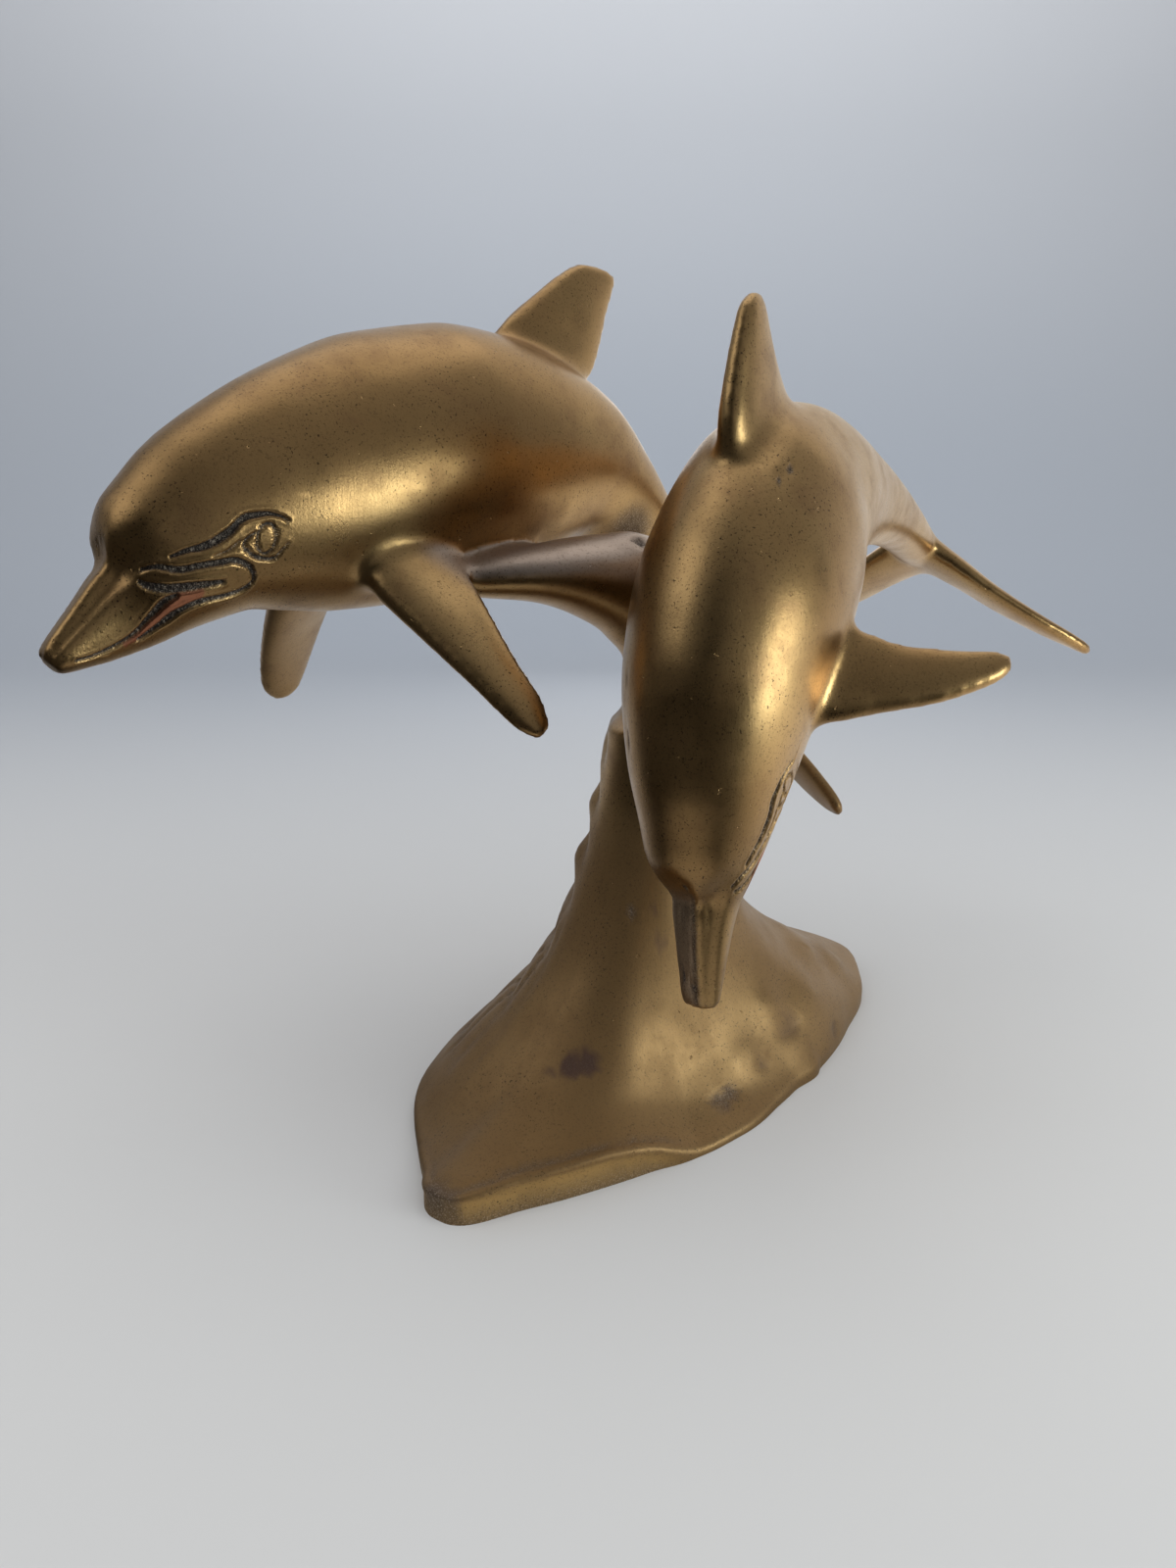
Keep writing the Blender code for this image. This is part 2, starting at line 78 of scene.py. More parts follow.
# its sections: distance from the beak tip, half height above the middle line and below it, half width
LEFT_BODY = (
    (0.0, 3.2, 3.0, 4.0), (2.0, 4.4, 4.2, 4.8), (10.0, 6.6, 8.4, 5.6), (18.0, 8.8, 11.8, 6.8),
    (23.0, 10.6, 13.6, 8.6), (28.0, 15.0, 15.0, 12.0), (38.0, 19.8, 18.6, 15.8), (56.0, 25.4, 24.6, 19.8),
    (78.0, 31.4, 31.4, 23.4), (101.0, 36.0, 34.4, 26.4), (126.0, 36.6, 35.6, 27.8),
    (147.0, 32.2, 33.0, 26.2), (170.0, 23.8, 27.4, 22.8), (193.0, 15.8, 21.0, 17.8),
    (219.0, 11.2, 15.4, 13.4), (250.0, 9.6, 11.4, 10.4), (285.0, 8.8, 8.6, 8.6), (305.0, 5.0, 5.0, 8.6),
)
# its back fin, as leading and trailing edge points in the side view and the half thickness between them
LEFT_DORSAL = (
    ((31.0, 214.0), (-10.0, 205.0), 6.4),
    ((15.0, 229.5), (-20.0, 217.0), 5.0),
    ((1.0, 239.0), (-24.5, 226.0), 4.0),
    ((-9.0, 245.0), (-27.5, 234.0), 3.2),
    ((-16.0, 248.0), (-31.0, 241.0), 2.4),
    ((-22.0, 248.0), (-32.5, 245.0), 1.8),
)

# Right dolphin, in the same way
RIGHT_PLACE = (5.5, -48.4, 150.0)
RIGHT_HEADING = 240.0
RIGHT_LIFT = 0.0
RIGHT_SPINE = (
    (0.0, 51.5), (0.0, 72.0), (-1.0, 90.0), (-2.0, 106.0), (-4.0, 122.0), (-9.0, 139.0), (-20.0, 156.0),
    (-38.0, 171.5), (-64.0, 181.5), (-95.0, 182.5), (-127.0, 177.5), (-162.0, 167.5), (-203.0, 152.0),
)
RIGHT_BODY = (
    (0.0, 3.2, 3.0, 4.6), (2.0, 4.2, 4.0, 5.6), (11.0, 6.0, 6.4, 6.6), (22.0, 8.0, 9.0, 7.8),
    (30.0, 10.0, 11.2, 9.2), (34.0, 12.0, 12.6, 10.6), (40.0, 15.8, 15.0, 12.8), (48.0, 19.6, 18.8, 15.4),
    (57.0, 23.4, 22.8, 18.0),
    (72.0, 28.6, 28.4, 21.6), (90.0, 33.2, 33.0, 24.8), (110.0, 36.4, 36.0, 26.6), (130.0, 36.6, 35.6, 25.4),
    (150.0, 30.2, 31.6, 21.2), (172.0, 20.6, 25.6, 17.8), (196.0, 13.4, 19.2, 14.8), (222.0, 9.8, 14.4, 12.2),
    (252.0, 7.8, 10.4, 10.0), (284.0, 6.4, 7.4, 8.6), (308.0, 4.4, 4.4, 8.6),
)
RIGHT_DORSAL = (
    ((-6.0, 186.0), (-50.0, 196.0), 6.8),
    ((-4.0, 201.0), (-44.0, 206.0), 5.2),
    ((-6.0, 212.0), (-35.0, 214.5), 4.0),
    ((-9.0, 221.0), (-29.0, 222.0), 3.2),
    ((-12.0, 228.0), (-25.0, 228.5), 2.4),
    ((-15.0, 230.5), (-23.0, 230.5), 1.8),
)

# Breast fins: distance of their root from the beak tip, then sections from the middle line there, as forward,
# out to the side and down from the back, for leading and trailing edge, and the half thickness between them
PECTORAL_AT = 94.0
PECTORAL = (
    ((16.0, 10.0, 15.0), (-15.0, 10.0, 12.0), 7.4),
    ((14.5, 22.0, 26.5), (-12.5, 22.0, 22.5), 5.2),
    ((11.0, 35.5, 40.0), (-8.5, 35.5, 34.5), 3.8),
    ((7.5, 46.5, 51.5), (-6.5, 46.5, 47.5), 3.0),
    ((5.0, 54.0, 60.0), (-6.0, 54.0, 56.5), 2.5),
    ((2.0, 57.5, 64.0), (-4.5, 57.5, 62.5), 1.9),
)
# the left dolphin's right one is broader at its end
BROAD_PECTORAL = (
    ((18.0, 10.0, 15.0), (-15.0, 10.0, 12.0), 7.4),
    ((17.5, 23.0, 26.5), (-13.0, 23.0, 22.5), 5.2),
    ((15.0, 38.5, 40.0), (-10.0, 38.5, 35.0), 3.8),
    ((12.0, 51.0, 51.5), (-9.0, 51.0, 48.0), 3.0),
    ((9.0, 59.0, 60.5), (-8.0, 59.0, 57.5), 2.5),
    ((4.5, 62.5, 65.5), (-5.5, 62.5, 64.0), 1.9),
)
# the right dolphin holds its left one out flatter
SPREAD_PECTORAL = (
    ((16.0, 10.0, 6.0), (-18.0, 10.0, 6.0), 7.4),
    ((12.5, 22.0, 9.0), (-17.5, 22.0, 10.0), 5.2),
    ((5.0, 36.0, 16.0), (-14.5, 36.0, 17.0), 3.8),
    ((-1.5, 49.0, 22.5), (-16.5, 49.0, 24.0), 3.0),
    ((-8.5, 58.0, 28.5), (-19.0, 58.0, 29.5), 2.5),
    ((-12.5, 61.5, 31.5), (-19.0, 61.5, 32.0), 1.9),
)

# Tail flukes, from the tail's end, in the same way
LEFT_FLUKE = (
    ((22.0, 0.0, -1.0), (-9.0, 0.0, 2.0), 5.5),
    ((14.0, 9.0, 2.5), (-16.0, 9.0, 4.5), 4.6),
    ((2.0, 20.0, 8.0), (-23.0, 20.0, 10.5), 3.4),
    ((-5.5, 31.0, 13.5), (-26.0, 31.0, 15.5), 2.8),
    ((-11.5, 37.5, 17.0), (-25.5, 37.5, 18.0), 2.4),
    ((-15.5, 41.0, 19.5), (-22.5, 41.0, 20.0), 2.0),
)
RIGHT_FLUKE = (
    ((28.0, 0.0, -1.0), (-8.0, 0.0, 2.0), 5.5),
    ((22.0, 12.0, 4.0), (-11.0, 12.0, 6.0), 4.6),
    ((12.0, 28.0, 12.5), (-17.0, 28.0, 14.0), 3.4),
    ((0.0, 44.0, 19.5), (-21.0, 44.0, 20.5), 2.8),
    ((-10.0, 55.0, 23.5), (-24.0, 55.0, 24.0), 2.4),
    ((-18.0, 61.0, 25.5), (-25.5, 61.0, 26.0), 2.0),
)

# Carving on a cheek. Places are the distance from the beak tip and the turn down from the back in degrees.
EYE_RING_CENTRE = (53.4, 101.0)
EYE_RING_RADIUS = 2.9
EYE_RING_HALF_WIDTH = 0.25
EYE_RING_DEPTH = 0.7
# depth, then points with their half width
CARVING = (
    # brow
    (0.9, ((33.0, 77.0, 0.2), (36.5, 81.0, 0.4), (39.5, 85.0, 0.6), (43.0, 87.0, 0.75), (47.0, 87.0, 0.75),
           (50.5, 85.0, 0.65), (54.0, 87.0, 0.5), (56.5, 89.0, 0.35), (59.0, 93.0, 0.2), (60.0, 96.0, 0.1))),
    # round the eye, and its tail
    (0.7, ((51.6, 95.0, 0.2), (48.0, 97.0, 0.3), (47.7, 103.0, 0.4), (49.6, 110.0, 0.4), (53.5, 114.0, 0.35),
           (56.0, 111.0, 0.25), (58.4, 107.0, 0.1))),
    (0.5, ((47.7, 95.0, 0.2), (45.0, 96.0, 0.25), (43.0, 96.0, 0.2), (40.4, 94.0, 0.1))),
    # round the mouth
    (0.9, ((26.7, 68.0, 0.2), (29.7, 76.0, 0.35), (32.6, 88.0, 0.5), (37.0, 95.0, 0.55),
           (41.3, 101.0, 0.55), (43.8, 104.0, 0.55), (46.2, 112.0, 0.6), (46.7, 122.0, 0.65),
           (44.3, 128.0, 0.6), (41.0, 129.0, 0.55), (37.4, 127.0, 0.5), (33.6, 123.0, 0.5),
           (31.0, 121.0, 0.5), (28.0, 121.0, 0.5), (24.8, 123.0, 0.45), (22.4, 126.0, 0.4),
           (19.5, 129.0, 0.3), (17.5, 131.0, 0.2))),
    # inside the mouth
    (0.8, ((25.0, 74.0, 0.3), (25.8, 84.0, 0.5), (28.2, 95.0, 0.65), (31.6, 103.0, 0.7), (35.0, 109.0, 0.6),
           (39.4, 115.0, 0.35))),
    # between the lips
    (0.7, ((29.0, 105.0, 0.3), (26.7, 104.0, 0.45), (24.3, 107.0, 0.5), (21.0, 113.0, 0.4),
           (17.5, 120.0, 0.35), (13.6, 123.0, 0.3), (10.2, 123.0, 0.3), (6.8, 121.0, 0.25),
           (3.9, 112.0, 0.2))),
)
# the burr thrown up beside a cut: its height, distance from the cut and width
BURR = (0.08, 0.6, 0.4)
# the lower lip's reddish strip, as a line with its half width
COPPER_LIP = (
    (33.5, 114.0, 0.8), (29.0, 110.0, 1.2), (25.0, 113.0, 1.2), (20.0, 121.0, 0.9), (15.0, 126.0, 0.5),
)
# the right dolphin's beak is longer and its head is rolled a little
LEFT_FACE_SHIFT = (0.0, 0.0)
RIGHT_FACE_SHIFT = (11.0, -6.0)
# the field that holds the carving, as nearest and farthest distance, and highest and lowest turn
CHEEK = (2.0, 66.0, 60.0, 136.0)
# how far a place may lie from a body's surface, as a share of its radius, and still belong to it
ON_CHEEK = 0.2
ON_PIT = 0.25
ON_BODY = 0.3
# beyond this share of the radius a place belongs to the wave
OFF_BODY = 1.22
# how far along each body, from the beak tip, places are charted
LEFT_CHARTED = 90.0
RIGHT_CHARTED = 135.0
# how many cuts make the faces of a left and a right cheek smaller
LEFT_CHEEK_CUTS = (4, 2)
RIGHT_CHEEK_CUTS = (3, 2)

# The beak's flat top: turn of its middle, and distance of the brow from the beak tip
LEFT_BEAK = (-4.0, 24.0)
RIGHT_BEAK = (-14.0, 32.0)
# the right beak's rough plane between two turns, the dark line along its edge, and where both end
ROUGH_PLANE = ((-78.0, -62.0), (3.0, 9.0))
BEAK_LINE_TURN = 8.0
BEAK_LINE_HALF_WIDTH = 0.7
BEAK_LINE_DEPTH = 0.35
BEAK_END = (33.0, 38.0)

# Foot of the wave: bearing round the column's axis, reach to the rim and height of the rim
FOOT_AXIS = (-5.0, 5.0)
FOOT = (
    (0, 56.0, 3.0), (20, 75.0, 3.0), (34, 99.0, 5.0), (44, 110.0, 9.0), (56, 108.0, 10.0),
    (72, 84.0, 7.0), (96, 62.0, 5.0), (122, 54.0, 4.0), (148, 56.0, 3.0), (172, 67.0, 2.5),
    (192, 75.0, 2.5), (210, 81.0, 3.0), (223, 89.0, 5.0), (230, 96.5, 7.5), (234, 96.0, 8.0),
    (243, 80.0, 9.3), (254, 66.0, 9.6), (262, 59.0, 8.6), (270, 54.0, 6.4), (278, 51.5, 3.6),
    (286, 49.0, 1.6), (304, 45.5, 1.5), (326, 44.5, 2.0), (344, 47.5, 2.5),
)
COLUMN_HALF_WIDTH = 14.5
COLUMN_HALF_DEPTH = 19.0
COLUMN_TOP = 118.0
# how far the wave's skin goes on below the table before it is cut off there
BELOW_TABLE = 4.0
# bearings of the foot's raised edge, and the heights below which and within which it is worked
RIM_BEARINGS = range(216, 286)
RIM_BELOW = 22.0
RIM_BAND = 1.6
RIDGE_HEIGHT = 0.7
RIM_GROOVE_DEPTH = 0.4
# heights over which relief sets in, so that the foot stands flat
RELIEF_FROM = (0.2, 1.5)

# Wave between rim and column top: share of the height, and of the foot's spread left on flank and front
SWEEP = (
    (0.0, 1.0, 1.0), (0.03, 0.965, 0.80), (0.08, 0.89, 0.58), (0.16, 0.73, 0.40), (0.26, 0.52, 0.27),
    (0.38, 0.33, 0.18), (0.52, 0.20, 0.11), (0.68, 0.10, 0.06), (0.84, 0.03, 0.02), (1.0, 0.0, 0.0),
)
OPEN_FRONT = 282.0
WAVE_RINGS = 70
WAVE_STEP = 2
# share of the height by which the rim's corners have evened out, and the bearings that are evened
EVENED_OUT = 0.12
EVENED = range(-24, 25, 8)

# Foam carved up the wave's left edge: bearing it centres on, its spread, depth of a scallop, rise from one
# to the next, height of the first, its rise with each degree, and the height where it starts and fades in
FOAM_BEARING = 176.0
FOAM_SPREAD = 26.0
FOAM_DEPTH = 3.4
FOAM_PITCH = 15.5
FOAM_START = 6.0
FOAM_LEAN = 0.25
FOAM_LOW = 20.0
FOAM_FADE = 12.0
# the box left of which, and between whose heights, the foam keeps its hollows without a fillet
FOAM_SIDE = -8.0
FOAM_HEIGHTS = (12.0, 112.0)
# fine lines of the water low on the left: how many degrees from one to the next, and their lean
WATER_LINES = 9.0
WATER_LEAN = 0.2
# heights over which the foam's grooves and the water's lines set in and end, and how deep they are
GROOVED = ((8.0, 20.0), (96.0, 106.0))
LINED = ((10.0, 20.0), (52.0, 64.0))
GROOVE_DEPTH = 0.7

# Crest curling to the left, and the shoulder under the right one: ring centre, half thickness, half breadth
BREADTH_WAY = (0.35, -0.94, 0.0)
CREST = (
    ((-2.0, 6.0, 108.0), 13.0, 18.0),
    ((2.0, 8.0, 130.0), 15.5, 18.0),
    ((0.0, 8.0, 146.0), 17.5, 18.0),
    ((-11.0, 4.0, 156.0), 16.0, 16.5),
    ((-24.0, -2.0, 160.5), 12.0, 15.0),
    ((-38.0, -9.0, 162.5), 8.2, 12.5),
    ((-53.0, -15.0, 162.5), 6.0, 9.5),
    ((-63.0, -19.0, 161.5), 4.0, 6.0),
)
SHOULDER = (
    ((2.0, 8.0, 112.0), 13.0, 14.0),
    ((10.0, 2.0, 127.0), 14.0, 15.0),
    ((19.0, -4.0, 136.0), 12.0, 15.0),
    ((26.0, -8.0, 146.0), 9.0, 13.0),
)
# where the crest's upward face carries a painted sheen: it sets in and ends over two ranges along x and z,
# and along y it sets in over one range and ends at a line
SHEEN_X = ((-70.0, -64.0), (0.0, 8.0))
SHEEN_Y = (-34.0, -26.0)
SHEEN_UP_TO_Y = 34.0
SHEEN_Z = ((156.0, 161.0), (172.0, 177.0))
# heights over which the wave's brown toning ends
TONED_BELOW = (78.0, 104.0)
# colour attributes of the skin, in the order of the brass's inputs
MARKS = ("dark", "copper", "brown", "patina", "bare", "grey_and_sheen")

# Pits and dents of the casting, and one patch of painted shade: place, radius, depth, and how dark and how
# brown it is
SPOTS = (
    ((-12.0, -18.0, 66.0), 1.3, 1.0, 1.0, 0.0),
    ((-24.4, -24.8, 48.0), 0.9, 0.6, 0.9, 0.0),
    ((-27.8, -28.1, 42.4), 1.0, 0.6, 0.9, 0.0),
    ((-25.2, -37.9, 28.1), 3.9, 0.2, 0.1, 1.0),
    ((-29.6, -38.6, 27.4), 4.0, 0.2, 0.1, 1.0),
    ((-35.2, -39.7, 26.3), 2.8, 0.2, 0.1, 1.0),
    ((15.0, -26.5, 7.4), 3.2, 1.0, 0.5, 0.3),
    ((18.5, -23.0, 9.0), 2.6, 0.9, 0.5, 0.3),
    ((28.6, -9.8, 10.8), 2.6, 0.8, 0.2, 0.4),
    ((36.0, 1.2, 15.0), 3.8, 1.1, 0.1, 0.3),
    ((40.5, 3.4, 17.0), 3.6, 1.0, 0.1, 0.3),
    ((57.6, 18.7, 7.0), 3.0, 0.8, 0.3, 0.3),
    # the rough toe
    ((-65.5, -69.5, 4.5), 5.5, 0.6, 0.75, 0.2),
    ((-61.0, -71.0, 6.0), 3.5, 0.4, 0.6, 0.2),
    # hole in the braze, and painted shade behind it where the left dolphin's belly meets the crest
    ((-10.5, -4.5, 169.5), 2.0, 1.2, 1.0, 0.0),
    ((-10.0, 38.0, 169.5), 9.0, 0.0, 0.7, 0.0),
    # brown spots down the middle of the wave
    ((-6.0, -16.5, 66.0), 2.2, 0.1, 0.0, 0.6),
    ((-9.5, -17.0, 58.0), 1.8, 0.1, 0.0, 0.7),
    ((-4.0, -17.5, 56.0), 2.6, 0.1, 0.0, 0.5),
    ((-10.0, -18.5, 52.0), 2.6, 0.1, 0.0, 0.6),
)
# Swells of the water on the foot: place, radius and height
SWELLS = (
    ((-23.5, 5.0, 93.0), 5.0, 1.6),
    ((-28.5, 5.0, 76.0), 5.5, 1.8),
    ((50.6, 41.8, 28.8), 9.0, 2.6),
    ((62.0, 52.0, 19.0), 8.0, 2.2),
    ((30.0, 2.0, 24.0), 7.0, 1.6),
    ((24.0, -14.0, 15.0), 6.0, 1.2),
    ((44.0, 18.0, 20.0), 7.0, 1.8),
    # lump of braze
    ((-13.0, -2.0, 169.5), 5.5, 1.3),
)
# Pits on the right dolphin, as distance from the beak tip and turn to its left: radius along and round, depth
BEAK_PITS = (
    ((27.6, -24.0), 2.0, 0.6, 0.8),
    ((6.7, -4.0), 1.4, 1.4, 1.0),
    ((9.5, -30.0), 0.6, 0.6, 0.5),
    ((38.5, 4.0), 0.9, 0.9, 0.6),
    ((71.0, -6.0), 0.8, 0.8, 0.6),
    ((74.0, -2.0), 0.6, 0.6, 0.5),
    ((69.0, -10.0), 0.6, 0.6, 0.4),
    # rows down the side of the head
    ((84.0, -38.0), 0.9, 0.6, 0.5),
    ((80.0, -40.0), 0.8, 0.6, 0.5),
    ((75.5, -41.0), 1.0, 0.7, 0.5),
    ((72.0, -38.0), 0.6, 0.6, 0.4),
    ((68.5, -42.0), 0.8, 0.5, 0.4),
    ((64.0, -43.0), 0.6, 0.5, 0.4),
    ((122.0, 29.0), 1.3, 0.8, 0.6),
    ((125.0, 32.0), 1.0, 0.7, 0.5),
)

# The photograph's camera: place in metres, degrees down, lens, and the sensor's width and height
CAMERA_PLACE = (-0.0344, -0.3755, 0.2)
CAMERA_DOWN = 17.0
LENS = 26.55
SENSOR = (27.0, 36.0)
# strength of the surroundings: for what is lit, for the camera, and the least in mirror images
LIT = 1.0
SEEN = 0.58
LEAST_SHINE = 0.01


def blend_rows(rows, at):
    """The row at a fractional index, on a smooth curve through all rows; a row is a flat list of numbers."""
    i = min(int(at), len(rows) - 2)
    t = at - i
    b, c = rows[i], rows[i + 1]
    a = rows[i - 1] if i > 0 else [2 * p - q for p, q in zip(b, c)]
    d = rows[i + 2] if i + 2 < len(rows) else [2 * q - p for p, q in zip(b, c)]
    return [0.5 * (2 * q + (r - p) * t + (2 * p - 5 * q + 4 * r - s) * t ** 2
                   + (3 * q - p - 3 * r + s) * t ** 3)
            for p, q, r, s in zip(a, b, c, d)]


def smooth_rows(rows, steps):
    return [blend_rows(rows, k / steps) for k in range((len(rows) - 1) * steps + 1)]


def look_up(rows, key):
    """The rest of a row for a value of its first column, on a curve that never overshoots its rows."""
    i = 0
    while i < len(rows) - 2 and rows[i + 1][0] < key:
        i += 1

    def slope(k, column):
        if k <= 0 or k >= len(rows) - 1:
            return 0.0
        before = (rows[k][column] - rows[k - 1][column]) / (rows[k][0] - rows[k - 1][0])
        after = (rows[k + 1][column] - rows[k][column]) / (rows[k + 1][0] - rows[k][0])
        return 0.0 if before * after <= 0 else 2 * before * after / (before + after)

    width = rows[i + 1][0] - rows[i][0]
    t = min(max((key - rows[i][0]) / width, 0.0), 1.0)
    found = []
    for column in range(1, len(rows[0])):
        p, q = rows[i][column], rows[i + 1][column]
        m, n = slope(i, column) * width, slope(i + 1, column) * width
        found.append(p * (2 * t ** 3 - 3 * t ** 2 + 1) + m * (t ** 3 - 2 * t ** 2 + t)
                     + q * (3 * t ** 2 - 2 * t ** 3) + n * (t ** 3 - t ** 2))
    return found


class Spine:
    """The curved middle line of one dolphin, drawn in its side view and placed in the room."""

    def __init__(self, place, heading, lift, points):
        self.origin = Vector(place)
        self.ahead = Vector((cos(radians(heading)), sin(radians(heading)), 0.0))
        level_left = Vector((-self.ahead.y, self.ahead.x, 0.0))
        upright = Vector((0.0, 0.0, 1.0))
        self.left = level_left * cos(radians(lift)) + upright * sin(radians(lift))
        self.up = upright * cos(radians(lift)) - level_left * sin(radians(lift))
        self.path = [Vector(row) for row in smooth_rows(points, 16)]
        self.lengths = [0.0]
        for a, b in zip(self.path, self.path[1:]):
            self.lengths.append(self.lengths[-1] + (b - a).length)

    def side_point(self, forward, height):
        return self.origin + self.ahead * forward + self.up * (height - self.origin.z)

    def frame(self, distance):
        """Point, backward direction and upward normal at a distance from the beak tip."""
        i = 0
        while i < len(self.path) - 2 and self.lengths[i + 1] < distance:
            i += 1
        t = (distance - self.lengths[i]) / (self.lengths[i + 1] - self.lengths[i])
        point = self.path[i].lerp(self.path[i + 1], t)
        back = (self.path[min(i + 5, len(self.path) - 1)] - self.path[max(i - 4, 0)]).normalized()
        return (self.side_point(point.x, point.y), self.ahead * back.x + self.up * back.y,
                self.ahead * back.y - self.up * back.x)


def add_loft(bm, rings):
    """A closed skin over rings of the same number of points, with capped ends."""
    columns = len(rings[0])
    verts = bmesh.ops.create_grid(bm, x_segments=columns, y_segments=len(rings) - 1, size=1.0)["verts"]
    for k, vert in enumerate(verts):
        row, column = divmod(k, columns + 1)
        vert.co = rings[row][column % columns] * MM
    bmesh.ops.remove_doubles(bm, verts=verts, dist=MERGE)
    bmesh.ops.holes_fill(bm, edges=[e for e in bm.edges if e.is_boundary], sides=0)


def add_body(bm, spine, sections):
    length = spine.lengths[-1]
    count = ceil(length / BODY_SPACING)
    rings = []
    for i in range(count + 1):
        distance = length * i / count
        above, below, half_width = look_up(sections, distance)
        point, _, up = spine.frame(distance)
        ring = []
        for k in range(BODY_POINTS):
            turn = 2 * pi * k / BODY_POINTS
            tall = above if cos(turn) > 0 else below
            ring.append(point + up * tall * cos(turn) + spine.left * half_width * sin(turn))
        rings.append(ring)
    add_loft(bm, rings)


def blade_ring(lead, trail, half_thickness, across):
    """A section between a leading and a trailing edge, rounded in front and thickest before its middle."""
    chord = trail - lead
    ring = []
    for k in range(2 * FIN_POINTS):
        turn = pi * k / FIN_POINTS
        along = (0.5 - 0.5 * cos(turn)) ** 1.25
        ring.append(lead + chord * along + across * half_thickness * sin(turn))
    return ring


def add_blade(bm, stations):
    """A fin: a loft over sections from one end to the other."""
    rows = smooth_rows([[*lead, *trail, half] for lead, trail, half in stations], 8)
    rings = []
    for i, row in enumerate(rows):
        before, after = rows[max(i - 1, 0)], rows[min(i + 1, len(rows) - 1)]
        span = Vector([after[k] + after[k + 3] - before[k] - before[k + 3] for k in range(3)])
        lead, trail = Vector(row[:3]), Vector(row[3:6])
        rings.append(blade_ring(lead, trail, row[6], span.cross(trail - lead).normalized()))
    for end, inner in ((0, 1), (-1, -2)):
        middle = sum(rings[end], Vector()) / len(rings[end])
        outward = (middle - sum(rings[inner], Vector()) / len(rings[inner])).normalized()
        tip = [middle + (p - middle) * 0.5 + outward * TIP_ROUND for p in rings[end]]
        rings.insert(0 if end == 0 else len(rings), tip)
    add_loft(bm, rings)


def add_dorsal(bm, spine, stations):
    add_blade(bm, [(spine.side_point(*lead), spine.side_point(*trail), half)
                   for lead, trail, half in stations])


def fin_stations(spine, distance, stations, side):
    """Fin sections given from the middle line, placed in the room on the left (1) or right (-1) side."""
    point, back, up = spine.frame(distance)

    def place(offset):
        forward, out, down = offset
        return point - back * forward + spine.left * out * side - up * down

    return [(place(lead), place(trail), half) for lead, trail, half in stations]


def add_dolphin(bm, spine, sections, dorsal, left_pectoral, right_pectoral, fluke):
    add_body(bm, spine, sections)
    add_dorsal(bm, spine, dorsal)
    add_blade(bm, fin_stations(spine, PECTORAL_AT, left_pectoral, 1))
    add_blade(bm, fin_stations(spine, PECTORAL_AT, right_pectoral, -1))
    tail = spine.lengths[-1]
    add_blade(bm, fin_stations(spine, tail, fluke[::-1], 1) + fin_stations(spine, tail, fluke[1:], -1))


def column_reach(bearing):
    """Distance from the axis to the column's oval at a bearing."""
    c, s = cos(bearing) / COLUMN_HALF_WIDTH, sin(bearing) / COLUMN_HALF_DEPTH
    return 1.0 / (c * c + s * s) ** 0.5


def foot_edge(degrees):
    """Reach and height of the foot's rim at a bearing."""
    rows = [(FOOT[-1][0] - 360, *FOOT[-1][1:])] + list(FOOT) + [(FOOT[0][0] + 360, *FOOT[0][1:])]
    return look_up(rows, degrees)


def turned(degrees, other):
    """Signed angle between two bearings."""
    return (degrees - other + 180.0) % 360.0 - 180.0


def foot_place(bearing, radius):
    """Place at a bearing in radians and a distance from the column's axis."""
    return FOOT_AXIS[0] + radius * cos(bearing), FOOT_AXIS[1] + radius * sin(bearing)


def bearings(points):
    """Bearings of points round the column's axis, in degrees."""
    return np.degrees(np.arctan2(points[:, 1] - FOOT_AXIS[1], points[:, 0] - FOOT_AXIS[0]))


def foam(degrees, height):
    """Scallops up the left edge, deepest between two swells."""
    way = turned(degrees, FOAM_BEARING)
    aside = way / FOAM_SPREAD
    if abs(aside) >= 1.0 or height < FOAM_LOW:
        return 0.0
    along = height - FOAM_START + FOAM_LEAN * way
    swell = 0.5 - 0.5 * cos(2 * pi * along / FOAM_PITCH)
    fade = min(1.0, (height - FOAM_LOW) / FOAM_FADE)
    return -FOAM_DEPTH * (1.0 - aside ** 2) * (0.8 - swell ** 0.5) * fade


def wave_ring(share):
    """A ring round the column at a share of the height between rim and column top."""
    flank, front = look_up(SWEEP, share)
    ring = []
    for degrees in range(0, 360, WAVE_STEP):
        bearing = radians(degrees)
        edge, rim = foot_edge(degrees)
        around = [foot_edge((degrees + step) % 360)[0] for step in EVENED]
        reach = edge + (sum(around) / len(around) - edge) * min(1.0, share / EVENED_OUT)
        openness = max(0.0, cos(radians(turned(degrees, OPEN_FRONT)))) ** 1.3
        spread = flank + (front - flank) * openness
        height = rim + (COLUMN_TOP - rim) * share
        inner = column_reach(bearing)
        radius = inner + (reach - inner) * spread + foam(degrees, height)
        ring.append(Vector((*foot_place(bearing, radius), height)))
    return ring


def add_wave(bm):
    """The wave from below the table to the column's top; its rings lie closer together near the rim."""
    rim = wave_ring(0.0)
    below = [Vector((p.x, p.y, -BELOW_TABLE)) for p in rim]
    above = [wave_ring((k / WAVE_RINGS) ** 1.3) for k in range(1, WAVE_RINGS + 1)]
    add_loft(bm, [below, rim] + above)


